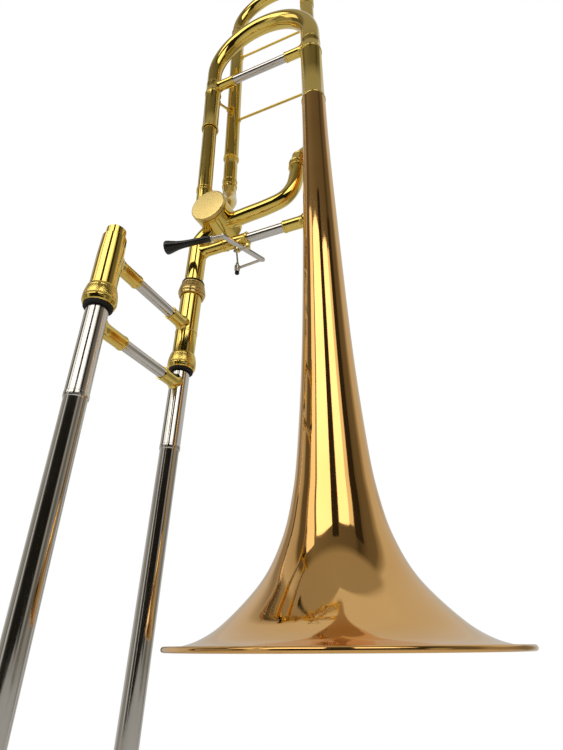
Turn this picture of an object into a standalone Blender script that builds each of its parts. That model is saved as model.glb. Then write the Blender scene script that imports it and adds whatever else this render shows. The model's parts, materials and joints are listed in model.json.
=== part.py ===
"""Large-bore tenor trombone with an F attachment, as separate named pieces.

The bell points down, as the instrument stands on a bell peg. World frame, in metres:
origin at the centre of the bell's rim, +Z up the bell's axis, X from the neckpipe (-X)
to the bell, and the hand slide on the -Y side.
"""
import math

import bmesh
import bpy
from mathutils import Matrix, Vector

MM = 0.001
GAP = 0.3 * MM          # left between pieces that touch on the real instrument

# How finely round shapes are divided
TUBE_SIDES = 12
ROD_SIDES = 8
VALVE_SIDES = 24
BELL_SIDES = 28

# Where the main axes stand
NECK_X = -129 * MM      # neckpipe and neck tube, from the bell's axis
F_LEFT = Vector((-114, 27, 0)) * MM
F_RIGHT = Vector((-10.5, 27, 0)) * MM
VALVE = Vector((-109, 0, 392.5)) * MM

UPRIGHT = Vector((0, 0, 1))

# The slide section leans off the bell's axis, so that the slide clears the rim
SLIDE_PIVOT_Z = 385 * MM
SLIDE_TURNS_DEG = (-0.95, 2.14, -1.40)
SLIDE_SPACING = 105 * MM

# Bell
BELL_RADIUS = 108 * MM
BELL_WALL = 0.5 * MM
BEAD_RADIUS = 1.6 * MM
BELL_TAIL_Z = 519.5 * MM
BELL_STATIONS = (       # height above the rim and outer radius, from the rim to the tail
    (1.2, 104.6), (6.0, 87.3), (16.5, 71.2), (39.4, 49.7), (64.0, 37.2), (90.5, 30.2),
    (128.0, 25.3), (219.0, 19.7), (373.5, 15.0), (458.0, 13.1), (519.5, 12.7),
)
BELL_SEAM_STATION = 5   # the flare ends and the stem starts at this station

# Tubing, outer and inner radii
NECK_R = (8.0 * MM, 7.2 * MM)
NECKPIPE_R = (9.1 * MM, 8.3 * MM)
NECK_SLEEVE_R = (9.3 * MM, 8.7 * MM)
BELL_SLEEVE_R = (12.0 * MM, 11.2 * MM)
NECK_FERRULE_R = (9.2 * MM, 8.7 * MM)
BELL_FERRULE_R = (11.7 * MM, 11.2 * MM)
CROOK_NECK_R = (8.6 * MM, 7.9 * MM)
CROOK_BELL_R = (11.2 * MM, 10.5 * MM)
F_TUBE_R = (7.7 * MM, 7.0 * MM)
F_SLEEVE_R = (8.4 * MM, 7.9 * MM)
WALL = 0.7 * MM

# Heights along the bell section
NECK_TUBE_TOP_Z = 541.5 * MM
NECK_BEAD_Z = (438.5 * MM, 443.5 * MM)
TUNING_LEG_BOTTOM_Z = 545 * MM
SLEEVE_TOP_Z = 608.3 * MM
CROOK_FERRULE_TOP_Z = 627 * MM
MAIN_BOW_Z = 646 * MM
F_SLEEVE_BOTTOM_Z = 515 * MM
F_SLEEVE_TOP_Z = 765 * MM
F_BOW_Z = 780 * MM
UPPER_BRACE_Z = 620 * MM
LOWER_BRACE_Z = 354 * MM
F_STAY_HEIGHTS = (583 * MM, 713 * MM)
NECK_STAY_Z = 600 * MM

# Braces: nickel tube with a brass socket on each end
BRACE_R = (4.8 * MM, 4.0 * MM)
SOCKET_R = (5.8 * MM, 5.1 * MM)
SOCKET_FLARE = 1.2 * MM
COLLAR = 0.7 * MM       # how far a sleeve's end ring stands out
COLLAR_HEIGHT = 2.5 * MM
STAY_RADIUS = 1.5 * MM
STAY_FOOT_RADIUS = 2.6 * MM

# Rotary valve
CASING_R = (18.2 * MM, 16.0 * MM)
CASING_Y = (-18.0 * MM, 16.5 * MM)
PORTS_DEG = {"f_upper": 60, "neck": 150, "neckpipe": 240, "f_lower": 330}
ROTOR_RADIUS = 15.7 * MM
ROTOR_HALF = 12.2 * MM
PORT_RADIUS = 6.9 * MM
SPINDLE_RADIUS = 3.0 * MM
STOP_ARM_RADIUS = 10.0 * MM
STOP_ARM_Y = (21.5 * MM, 23.5 * MM)
ROTOR_TRAVEL_DEG = 90

# Thumb lever, whose hinge lies just under the lower brace
LEVER_AXLE = Vector((-79.6, 2, 345.5)) * MM
LEVER_BALL = Vector((-99, 26.4, 345.5)) * MM
LEVER_HUB_RADIUS = 2.1 * MM
AXLE_RADIUS = 1.0 * MM
LINK_EYE_Y = 25.4 * MM

# Slide section: distances along the slide's own axis, from the pivot beside the valve
BARREL_TOP = -92.5 * MM
BARREL_STEP = -100.5 * MM
NUT_TOP = -71 * MM
NUT_BOTTOM = -86 * MM
RING_TOP = -150 * MM
BARREL_BOTTOM = -165.2 * MM
BUMPER_BOTTOM = -167.7 * MM
INNER_BRACE = -120 * MM
OUTER_TUBE_TOP = -150 * MM
OUTER_BRACE = -179.5 * MM
OVERSLEEVE_END = -240 * MM
OUTER_TUBE_BOTTOM = -760 * MM
INNER_TUBE_TOP = -104 * MM
INNER_TUBE_BOTTOM = -748 * MM
STOCKING_TOP = -628 * MM
BARREL_R = (9.9 * MM, 8.9 * MM)
OUTER_TUBE_R = (7.8 * MM, 7.4 * MM)
OVERSLEEVE_RADIUS = 8.2 * MM
INNER_TUBE_R = (6.9 * MM, 6.4 * MM)
STOCKING_RADIUS = 7.1 * MM
RECEIVER_BORE = 6.3 * MM
SLIDE_CROOK_R = (8.3 * MM, 7.6 * MM)


# ---------------------------------------------------------------- scene and materials

def clear_scene():
    for obj in list(bpy.data.objects):
        bpy.data.objects.remove(obj, do_unlink=True)


def make_material(name, colour, roughness, metallic):
    material = bpy.data.materials.new(name)
    material.use_nodes = True
    shader = material.node_tree.nodes["Principled BSDF"]
    shader.inputs["Base Color"].default_value = (*colour, 1.0)
    shader.inputs["Roughness"].default_value = roughness
    shader.inputs["Metallic"].default_value = metallic
    return material


def make_empty(name, location=(0, 0, 0), turns_deg=(0, 0, 0), parent=None):
    empty = bpy.data.objects.new(name, None)
    empty.location = location
    empty.rotation_euler = [math.radians(turn) for turn in turns_deg]
    empty.parent = parent
    bpy.context.scene.collection.objects.link(empty)
    return empty


clear_scene()
YELLOW_BRASS = make_material("yellow_brass_lacquer", (0.80, 0.58, 0.16), 0.15, 1.0)
GOLD_BRASS = make_material("gold_brass_lacquer", (0.74, 0.42, 0.16), 0.12, 1.0)
NICKEL = make_material("nickel_silver", (0.66, 0.63, 0.60), 0.18, 1.0)
STEEL = make_material("polished_steel", (0.60, 0.60, 0.60), 0.25, 1.0)
BLACK_PLASTIC = make_material("black_plastic", (0.015, 0.015, 0.018), 0.35, 0.0)
RUBBER = make_material("black_rubber", (0.02, 0.02, 0.02), 0.80, 0.0)
CORK = make_material("cork", (0.55, 0.38, 0.22), 0.90, 0.0)

SLIDE_FRAME = make_empty("slide_axis", (NECK_X, 0, SLIDE_PIVOT_Z), SLIDE_TURNS_DEG)
LEVER_FRAME = make_empty("lever_axis", LEVER_AXLE)
LINK_FRAME = make_empty("link_ball_axis", LEVER_BALL - LEVER_AXLE, parent=LEVER_FRAME)
VALVE_FRAME = make_empty("valve_axis", VALVE, (90, 0, 0))     # local +Z points to -Y, the cap


# ---------------------------------------------------------------- building round shapes

def ring(bm, centre, side_a, side_b, radius, sides):
    """One loop of vertices round centre; a single vertex where the radius is zero."""
    if radius < 1e-7:
        return [bm.verts.new(centre)]
    turns = [2 * math.pi * i / sides for i in range(sides)]
    return [bm.verts.new(centre + radius * (side_a * math.cos(t) + side_b * math.sin(t))) for t in turns]


def skin(bm, first, second):
    """Faces between two rings, either of which may be a single vertex."""
    count = max(len(first), len(second))
    for i in range(count):
        j = (i + 1) % count
        if len(first) == 1:
            bm.faces.new((first[0], second[i], second[j]))
        elif len(second) == 1:
            bm.faces.new((first[i], first[j], second[0]))
        else:
            bm.faces.new((first[i], first[j], second[j], second[i]))


def add_piece(name, bm, material, location=(0, 0, 0), parent=None, sharp_deg=35):
    """Turn a closed bmesh into a named object, with its faces pointing out."""
    bmesh.ops.recalc_face_normals(bm, faces=bm.faces)
    mesh = bpy.data.meshes.new(name)
    bm.to_mesh(mesh)
    bm.free()
    mesh.shade_smooth()
    mesh.set_sharp_from_angle(angle=math.radians(sharp_deg))
    if material is not None:
        mesh.materials.append(material)
    obj = bpy.data.objects.new(name, mesh)
    obj.location = location
    obj.parent = parent
    bpy.context.scene.collection.objects.link(obj)
    return obj


def turned(name, profile, material, location=(0, 0, 0), parent=None, sides=TUBE_SIDES, loop=True):
    """Turn a profile of (radius, height) about Z. A loop is a closed outline off the axis;
    without loop the profile's ends lie on the axis."""
    bm = bmesh.new()
    x_axis, y_axis = Vector((1, 0, 0)), Vector((0, 1, 0))
    rings = [ring(bm, Vector((0, 0, z)), x_axis, y_axis, r, sides) for r, z in profile]
    for first, second in zip(rings, rings[1:]):
        skin(bm, first, second)
    if loop:
        skin(bm, rings[-1], rings[0])
    return add_piece(name, bm, material, location, parent)


def pipe(name, low, high, radii, material, location=(0, 0, 0), parent=None, sides=TUBE_SIDES):
    """A straight tube from height low to height high; radii are outer and inner."""
    outer, inner = radii
    profile = [(outer, low), (outer, high), (inner, high), (inner, low)]
    return turned(name, profile, material, location, parent, sides)


def cross_axes(axis):
    """Two directions square to an axis. Tubes on one axis get the same ones, so their
    flats line up and the gap between them stays even."""
    reference = Vector((1, 0, 0)) if abs(axis.x) < 0.9 else Vector((0, 1, 0))
    side = (reference - axis * reference.dot(axis)).normalized()
    return side, axis.cross(side)


def directions(points):
    """Unit tangents along a list of points."""
    last = len(points) - 1
    spans = [points[min(i + 1, last)] - points[max(i - 1, 0)] for i in range(last + 1)]
    return [span.normalized() for span in spans]


def swept(name, stations, material, location=(0, 0, 0), parent=None, sides=TUBE_SIDES):
    """A bent tube along stations of (point, outer radius, inner radius). The two end
    faces are flat; an inner radius of zero all along makes a solid rod."""
    bm = bmesh.new()
    points = [station[0] for station in stations]
    tangents = directions(points)
    side = cross_axes(tangents[0])[0]
    outer_rings, inner_rings = [], []
    for (point, outer, inner), tangent in zip(stations, tangents):
        side = (side - tangent * side.dot(tangent)).normalized()
        other = tangent.cross(side)
        outer_rings.append(ring(bm, point, side, other, outer, sides))
        if inner > 0:
            inner_rings.append(ring(bm, point, side, other, inner, sides))
    for rings in (outer_rings, inner_rings):
        for first, second in zip(rings, rings[1:]):
            skin(bm, first, second)
    if inner_rings:
        skin(bm, outer_rings[0], inner_rings[0])
        skin(bm, outer_rings[-1], inner_rings[-1])
    else:
        bm.faces.new(outer_rings[0])
        bm.faces.new(outer_rings[-1])
    return add_piece(name, bm, material, location, parent)


def smooth_path(guides, steps):
    """Points on a Catmull-Rom curve through the guides, steps to each span."""
    ends = [guides[0] * 2 - guides[1], *guides, guides[-1] * 2 - guides[-2]]
    points = []
    for a, b, c, d in zip(ends, ends[1:], ends[2:], ends[3:]):
        for i in range(steps):
            t = i / steps
            bend = (a * 2 - b * 5 + c * 4 - d) * t * t + (b * 3 - a - c * 3 + d) * t ** 3
            points.append((b * 2 + (c - a) * t + bend) / 2)
    return [*points, guides[-1]]


def bow_stations(left, right, start_left, start_right, bow_z, ferrule_left, ferrule_right, r_left, r_right,
                 steps=8):
    """Stations of a U-bow that rises from left, turns over and comes down at right. Each
    leg starts with a wider ferrule, given as (end height, outer, inner), and the bow's
    radii run from r_left to r_right."""
    centre = (left + right) / 2
    arm = (left - right) / 2
    up = Vector((0, 0, 1))
    step_over = up * (0.1 * MM)

    def leg(foot, start, ferrule, radii):
        end_z, outer, inner = ferrule
        return [(foot + up * start, outer, inner), (foot + up * end_z, outer, inner),
                (foot + up * end_z + step_over, *radii)]

    arch = []
    for i in range(steps + 1):
        angle = math.pi * i / steps
        share = i / steps
        radii = [a + (b - a) * share for a, b in zip(r_left, r_right)]
        point = centre + arm * math.cos(angle) + up * (bow_z + arm.length * math.sin(angle))
        arch.append((point, *radii))
    rise = leg(left, start_left, ferrule_left, r_left)
    fall = leg(right, start_right, ferrule_right, r_right)
    return rise + arch + fall[::-1]


def cylinder_between(bm, start, end, radius, sides=ROD_SIDES):
    """A capped cylinder from start to end, added to bm as its own closed shell."""
    side, other = cross_axes((end - start).normalized())
    low = ring(bm, start, side, other, radius, sides)
    high = ring(bm, end, side, other, radius, sides)
    skin(bm, low, high)
    bm.faces.new(low)
    bm.faces.new(high)


def hide_as_tool(obj):
    obj.hide_render = True
    obj.display_type = "WIRE"
    return obj


def rod_tool(name, start, end, radius, parent=None, sides=TUBE_SIDES):
    """A hidden cylinder, for cutting or for joining."""
    bm = bmesh.new()
    cylinder_between(bm, start, end, radius, sides)
    return hide_as_tool(add_piece(name, bm, None, parent=parent))


def combine(obj, tool, operation="DIFFERENCE"):
    modifier = obj.modifiers.new(tool.name, "BOOLEAN")
    modifier.operation = operation
    modifier.object = tool
    return obj


# ---------------------------------------------------------------- bell

def bell_sheet_points():
    """Middle of the bell's sheet from the rim to the tail, as (radius, height) vectors."""
    return [Vector((radius - BELL_WALL / MM / 2, height)) * MM for height, radius in BELL_STATIONS]


def build_bell():
    """The spun flare with its edge rolled over a bead, and the stem brazed to its throat."""
    points = [point.to_3d() for point in bell_sheet_points()]
    half = BELL_WALL / 2
    normals = [Vector((t.y, -t.x, 0)) for t in directions(points)]
    outside = [p + n * half for p, n in zip(points, normals)]
    inside = [p - n * half for p, n in zip(points, normals)]
    seam = BELL_SEAM_STATION
    gap = (points[seam + 1] - points[seam]).normalized() * GAP

    bead = Vector((BELL_RADIUS - BEAD_RADIUS, BEAD_RADIUS, 0))
    turns = [math.radians(angle) for angle in range(-90, 181, 90)]
    curl_in = [bead + Vector((math.cos(t), math.sin(t), 0)) * (BEAD_RADIUS - BELL_WALL) for t in turns]
    curl_out = [bead + Vector((math.cos(t), math.sin(t), 0)) * BEAD_RADIUS for t in turns]
    flare = outside[seam::-1] + curl_in + curl_out[::-1] + inside[:seam + 1]
    turned("bell_flare", [(p.x, p.y) for p in flare], GOLD_BRASS, sides=BELL_SIDES)

    stem = outside[:seam:-1] + [outside[seam] + gap, inside[seam] + gap] + inside[seam + 1:]
    turned("bell_stem", [(p.x, p.y) for p in stem], GOLD_BRASS, sides=BELL_SIDES)


# ---------------------------------------------------------------- neck, sleeves and tuning slide

def build_sleeves():
    """The two fixed tubes that the main tuning slide's legs run in, each with a ring round
    its open end. The bell's tail fits over a spigot at the foot of the bell side tube."""
    outer, inner = BELL_SLEEVE_R
    collar = outer + COLLAR
    joint, high = BELL_TAIL_Z + GAP, SLEEVE_TOP_Z
    tail_bore = BELL_STATIONS[-1][1] * MM - BELL_WALL
    spigot = tail_bore - 0.1 * MM - GAP
    low = joint - 6 * MM
    bead = outer + 1.2 * MM
    bead_top = joint + 2.4 * MM
    profile = [(spigot, low), (spigot, joint), (bead, joint), (bead, bead_top), (outer, bead_top),
               (outer, high - COLLAR_HEIGHT), (collar, high - COLLAR_HEIGHT), (collar, high), (inner, high),
               (inner, low)]
    turned("bell_side_sleeve", profile, YELLOW_BRASS)
    outer, inner = NECK_SLEEVE_R
    collar = outer + COLLAR
    low = NECK_TUBE_TOP_Z + GAP
    profile = [(collar, low), (collar, low + COLLAR_HEIGHT), (outer, low + COLLAR_HEIGHT),
               (outer, high - COLLAR_HEIGHT), (collar, high - COLLAR_HEIGHT), (collar, high), (inner, high),
               (inner, low)]
    turned("neck_side_sleeve", profile, YELLOW_BRASS, (NECK_X, 0, 0))


def valve_port(angle_deg, radius=CASING_R[0]):
    """The point on the valve casing's surface at an angle from +X towards +Z."""
    angle = math.radians(angle_deg)
    return VALVE + Vector((math.cos(angle), 0, math.sin(angle))) * radius


def casing_tool(name):
    """The casing's outside plus a gap, for trimming what is soldered to it."""
    reach = Vector((0, 30 * MM, 0))
    return rod_tool(name, VALVE - reach, VALVE + reach, CASING_R[0] + GAP, sides=VALVE_SIDES)


def build_neck_tube():
    guides = [Vector((-121.5, 0, 398)) * MM, Vector((-124.8, 0, 402.5)) * MM, Vector((-127.8, 0, 411)) * MM,
              Vector((NECK_X, 0, 424 * MM)), Vector((NECK_X, 0, 438 * MM))]
    stations = [(point, *NECK_R) for point in smooth_path(guides, 2)]
    bead = (NECK_R[0] + 0.9 * MM, NECK_R[1])
    bead_low, bead_high = NECK_BEAD_Z
    step = 0.1 * MM
    heights = ((bead_low, bead), (bead_high, bead), (bead_high + step, NECK_R), (NECK_TUBE_TOP_Z, NECK_R))
    stations += [(Vector((NECK_X, 0, height)), *radii) for height, radii in heights]
    tube = swept("neck_tube", stations, YELLOW_BRASS)
    combine(tube, casing_tool("trim_neck_tube"))


# ---------------------------------------------------------------- braces and stays

def build_brace(prefix, start, end, radii_at_ends, socket_lengths, parent=None, first_tube=UPRIGHT):
    """A brace between two tubes whose axes pass through start and end. radii_at_ends
    are the tubes' outer radii, and each socket's length is measured from its axis. The
    tube at start runs along first_tube; the other one is upright."""
    axis = (end - start).normalized()
    side, across = cross_axes(axis)
    first = start + axis * (radii_at_ends[0] + 2 * MM)
    last = end - axis * (radii_at_ends[1] + 2 * MM)
    swept(f"{prefix}_brace", [(first, *BRACE_R), (last, *BRACE_R)], NICKEL, parent=parent)
    ends = (("a", start, axis, first_tube), ("b", end, -axis, UPRIGHT))
    for (mark, foot, inward, tube_axis), radius, length in zip(ends, radii_at_ends, socket_lengths):
        outer, inner = SOCKET_R
        flare = outer + SOCKET_FLARE
        reaches = ((radius - 3 * MM, flare), (radius + 1.5 * MM, flare), (radius + 4.5 * MM, outer),
                   (length - 2.5 * MM, outer), (length - 2.5 * MM, outer + 0.6 * MM),
                   (length, outer + 0.6 * MM))
        bm = bmesh.new()
        rings = [ring(bm, foot + inward * reach, side, across, r, TUBE_SIDES) for reach, r in reaches]
        rings += [ring(bm, foot + inward * reach, side, across, inner, TUBE_SIDES)
                  for reach in (length, radius - 3 * MM)]
        for one, other in zip(rings, rings[1:] + rings[:1]):
            skin(bm, one, other)
        socket = add_piece(f"{prefix}_brace_socket_{mark}", bm, YELLOW_BRASS, parent=parent)
        reach = tube_axis * (60 * MM)
        tool = rod_tool(f"trim_{prefix}_{mark}", foot - reach, foot + reach, radius + GAP, parent)
        combine(socket, tool)


def build_stay(name, start, end, radii_at_ends):
    """A thin solid rod with a widened foot at each end, fitted between two tubes."""
    axis = (end - start).normalized()
    first = start + axis * (radii_at_ends[0] - 1 * MM)
    last = end - axis * (radii_at_ends[1] - 1 * MM)
    foot = axis * (3 * MM)
    taper = axis * (5 * MM)
    stations = [(first, STAY_FOOT_RADIUS, 0), (first + foot, STAY_FOOT_RADIUS, 0),
                (first + taper, STAY_RADIUS, 0), (last - taper, STAY_RADIUS, 0),
                (last - foot, STAY_FOOT_RADIUS, 0), (last, STAY_FOOT_RADIUS, 0)]
    stay = swept(name, stations, YELLOW_BRASS, sides=ROD_SIDES)
    reach = Vector((0, 0, 20 * MM))
    for mark, centre, radius in (("a", start, radii_at_ends[0]), ("b", end, radii_at_ends[1])):
        tool = rod_tool(f"trim_{name}_{mark}", centre - reach, centre + reach, radius + GAP)
        combine(stay, tool)


def slide_line_point(height):
    """The point of the slide section's axis at a world height, beside the valve."""
    axis = Matrix.LocRotScale(SLIDE_FRAME.location, SLIDE_FRAME.rotation_euler, None).to_3x3().col[2]
    return SLIDE_FRAME.location + axis * ((height - SLIDE_PIVOT_Z) / axis.z)


def lower_brace_point(x):
    """The point of the lower brace's axis at a world x, between the neckpipe and the bell."""
    start = slide_line_point(LOWER_BRACE_Z)
    return start.lerp(Vector((0, 0, LOWER_BRACE_Z)), 1 - x / start.x)


def bell_radius_at(height):
    """The bell's outer radius, read between its stations."""
    height = height / MM
    for (low_z, low_r), (high_z, high_r) in zip(BELL_STATIONS, BELL_STATIONS[1:]):
        if low_z <= height <= high_z:
            return (low_r + (high_r - low_r) * (height - low_z) / (high_z - low_z)) * MM
    return BELL_STATIONS[-1][1] * MM


def build_tuning_slide():
    """A U-bow on two nickel legs, with a brace between the ferrules that join them."""
    neck = Vector((NECK_X, 0, 0))
    bell = Vector((0, 0, 0))
    start = SLEEVE_TOP_Z + GAP
    stations = bow_stations(
        neck, bell, start, start, MAIN_BOW_Z, (CROOK_FERRULE_TOP_Z, *NECK_FERRULE_R),
        (CROOK_FERRULE_TOP_Z, *BELL_FERRULE_R), CROOK_NECK_R, CROOK_BELL_R, steps=10)
    swept("tuning_crook", stations, YELLOW_BRASS)
    for name, foot, ferrule in (("tuning_neck_leg", neck, NECK_FERRULE_R),
                                ("tuning_bell_leg", bell, BELL_FERRULE_R)):
        outer = ferrule[1] - GAP
        pipe(name, TUNING_LEG_BOTTOM_Z, CROOK_FERRULE_TOP_Z - GAP, (outer, outer - WALL), NICKEL, foot)
    height = UPRIGHT * UPPER_BRACE_Z
    build_brace("upper", neck + height, bell + height, (NECK_FERRULE_R[0], BELL_FERRULE_R[0]),
                (29 * MM, 32 * MM))


def build_lower_brace():
    neck = slide_line_point(LOWER_BRACE_Z)
    bell = Vector((0, 0, LOWER_BRACE_Z))
    at_bell = bell_radius_at(LOWER_BRACE_Z) + 0.5 * MM
    neckpipe_axis = (slide_line_point(LOWER_BRACE_Z + MM) - neck).normalized()
    build_brace("lower", neck, bell, (NECKPIPE_R[0], at_bell), (31 * MM, 36 * MM), first_tube=neckpipe_axis)


def build_stays():
    up = Vector((0, 0, 1))
    for name, height in zip(("f_lower_stay", "f_upper_stay"), F_STAY_HEIGHTS):
        build_stay(name, F_LEFT + up * height, F_RIGHT + up * height, (F_SLEEVE_R[0], F_SLEEVE_R[0]))
    neck = Vector((NECK_X, 0, NECK_STAY_Z))
    build_stay("neck_stay", neck, F_LEFT + up * NECK_STAY_Z, (NECK_SLEEVE_R[0], F_SLEEVE_R[0]))


# ---------------------------------------------------------------- F attachment

def build_f_attachment():
    up = Vector((0, 0, 1))
    bead = (F_TUBE_R[0] + 0.9 * MM, F_TUBE_R[1])

    guides = [Vector((-102.5, -3, 398.5)) * MM, Vector((-100.8, 0.9, 409.5)) * MM,
              Vector((-102.5, 8.5, 422)) * MM, Vector((-107, 17.5, 435)) * MM, Vector((-112, 24.8, 449)) * MM,
              F_LEFT + up * (464 * MM)]
    stations = [(point, *F_TUBE_R) for point in smooth_path(guides, 2)]
    sleeve_bottom = F_SLEEVE_BOTTOM_Z / MM
    sleeve_top = F_SLEEVE_TOP_Z / MM
    heights = ((467, F_TUBE_R), (467.1, bead), (478, bead), (478.1, F_TUBE_R), (sleeve_bottom, F_TUBE_R),
               (sleeve_bottom + 0.1, F_SLEEVE_R), (sleeve_top, F_SLEEVE_R))
    stations += [(F_LEFT + up * (height * MM), *radii) for height, radii in heights]
    left = swept("f_left_sleeve", stations, YELLOW_BRASS)
    combine(left, casing_tool("trim_f_left"))

    guides = [Vector((-101, 0, 385.5)) * MM, Vector((-90.5, 0.2, 385.2)) * MM, Vector((-76, 1, 387.2)) * MM,
              Vector((-56, 3, 391)) * MM, Vector((-38.5, 6, 398.5)) * MM, Vector((-29.5, 9, 412.5)) * MM,
              Vector((-26.2, 11.2, 430)) * MM, Vector((-25.6, 12.3, 441)) * MM]
    stations = [(point, *F_TUBE_R) for point in smooth_path(guides, 2)]
    bend = swept("f_lower_bend", stations, YELLOW_BRASS)
    combine(bend, casing_tool("trim_f_lower"))

    guides = [Vector((-25.6, 12.4, 441.4)) * MM, Vector((-25.4, 13.2, 449)) * MM,
              Vector((-22.8, 16, 460.5)) * MM, Vector((-15.5, 22, 475)) * MM, Vector((-11.2, 26, 492)) * MM,
              F_RIGHT + up * (512 * MM)]
    path = smooth_path(guides, 2)
    ferrule_points = 3      # the first stretch carries the ferrule that joins the bend
    stations = [(point, *bead) for point in path[:ferrule_points]]
    stations += [(point, *F_TUBE_R) for point in path[ferrule_points:]]
    heights = ((548, F_TUBE_R), (548.1, F_SLEEVE_R), (sleeve_top, F_SLEEVE_R))
    stations += [(F_RIGHT + up * (height * MM), *radii) for height, radii in heights]
    swept("f_right_sleeve", stations, YELLOW_BRASS)

    leg_r = (F_SLEEVE_R[1] - GAP, F_SLEEVE_R[1] - GAP - WALL)
    ferrule = (775 * MM, 8.9 * MM, F_SLEEVE_R[1])
    start = F_SLEEVE_TOP_Z + GAP
    bow_r = (8.0 * MM, 7.3 * MM)
    stations = bow_stations(F_LEFT, F_RIGHT, start, start, F_BOW_Z, ferrule, ferrule, bow_r, bow_r)
    swept("f_crook", stations, YELLOW_BRASS)
    for name, foot in (("f_left_leg", F_LEFT), ("f_right_leg", F_RIGHT)):
        pipe(name, 668 * MM, 774.7 * MM, leg_r, NICKEL, foot)


# ---------------------------------------------------------------- rotary valve

def build_valve():
    """The valve's own axis runs along -Y: heights in VALVE_FRAME are distances to the front."""
    back, front = -CASING_Y[1], -CASING_Y[0]
    casing = pipe("valve_casing", back, front, CASING_R, YELLOW_BRASS, parent=VALVE_FRAME, sides=VALVE_SIDES)
    for name, angle in PORTS_DEG.items():
        tool = rod_tool(f"port_{name}", valve_port(angle, 8 * MM), valve_port(angle, 24 * MM), PORT_RADIUS)
        combine(casing, tool)

    plate_back = back - 3 * MM
    hole = SPINDLE_RADIUS + GAP
    rim = CASING_R[0]
    profile = [(hole, plate_back), (rim - 1 * MM, plate_back), (rim, plate_back + 1 * MM), (rim, back - GAP),
               (hole, back - GAP)]
    turned("valve_back_plate", profile, YELLOW_BRASS, parent=VALVE_FRAME, sides=VALVE_SIDES)

    face = front + 4.2 * MM
    lip = CASING_R[1] - 1 * MM
    profile = [(0, front + 2 * MM), (lip, front + 2 * MM), (lip, front + GAP), (rim, front + GAP),
               (rim + 0.4 * MM, front + 1.2 * MM), (rim + 0.4 * MM, face - 1 * MM),
               (rim - 0.6 * MM, face), (0, face)]
    turned("valve_cap", profile, YELLOW_BRASS, parent=VALVE_FRAME, sides=VALVE_SIDES, loop=False)


def build_rotor():
    """A solid rotor with two curved passages, turning on its spindle."""
    tip = -24 * MM
    profile = [(0, tip), (SPINDLE_RADIUS, tip), (SPINDLE_RADIUS, -ROTOR_HALF), (ROTOR_RADIUS, -ROTOR_HALF),
               (ROTOR_RADIUS, ROTOR_HALF), (SPINDLE_RADIUS, ROTOR_HALF), (SPINDLE_RADIUS, 16 * MM),
               (0, 16 * MM)]
    rotor = turned("valve_rotor", profile, STEEL, parent=VALVE_FRAME, sides=VALVE_SIDES, loop=False)
    offset = ROTOR_RADIUS * math.sqrt(2)
    passages = {"main": (PORTS_DEG["neck"] + PORTS_DEG["neckpipe"]) / 2, "f": PORTS_DEG["f_upper"] - 45}
    for mark, angle_deg in passages.items():
        angle = math.radians(angle_deg)
        turns = [2 * math.pi * i / 10 for i in range(10)]
        tube = [(ROTOR_RADIUS + 6.6 * MM * math.cos(t), 6.6 * MM * math.sin(t)) for t in turns]
        centre = (offset * math.cos(angle), offset * math.sin(angle), 0)
        groove = turned(f"passage_{mark}", tube, None, centre, VALVE_FRAME, VALVE_SIDES)
        combine(rotor, hide_as_tool(groove))


def build_stop_work():
    """The arm on the rotor's spindle and the two bumpers that end its quarter turn."""
    hub = 4.6 * MM
    rest = math.radians(-ROTOR_TRAVEL_DEG / 2)
    along = Vector((math.cos(rest), 0, math.sin(rest)))
    across = Vector((-along.z, 0, along.x))
    pin = along * STOP_ARM_RADIUS
    bm = bmesh.new()
    half = 2.0 * MM
    outline = []
    for i in range(7):
        turn = math.radians(-90 + 30 * i)
        outline.append(pin + (along * math.cos(turn) + across * math.sin(turn)) * half)
    for i in range(13):
        turn = math.radians(40 + 280 / 12 * i)
        outline.append((along * math.cos(turn) + across * math.sin(turn)) * hub)
    low = [bm.verts.new(VALVE + p + Vector((0, STOP_ARM_Y[0], 0))) for p in outline]
    high = [bm.verts.new(VALVE + p + Vector((0, STOP_ARM_Y[1], 0))) for p in outline]
    skin(bm, low, high)
    bm.faces.new(low)
    bm.faces.new(high)
    arm = add_piece("stop_arm", bm, STEEL)
    reach = Vector((0, 30 * MM, 0))
    combine(arm, rod_tool("arm_hole", VALVE - reach, VALVE + reach, SPINDLE_RADIUS + GAP))

    bumper_turn = math.radians(ROTOR_TRAVEL_DEG / 2 + 27)
    for name, side in (("stop_bumper_rest", -1), ("stop_bumper_play", 1)):
        foot = VALVE + Vector((math.cos(bumper_turn), 0, side * math.sin(bumper_turn))) * (9.4 * MM)
        bm = bmesh.new()
        cylinder_between(bm, foot + Vector((0, 19.8 * MM, 0)), foot + Vector((0, 23.8 * MM, 0)), 1.8 * MM)
        add_piece(name, bm, CORK)


# ---------------------------------------------------------------- thumb lever and link

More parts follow.
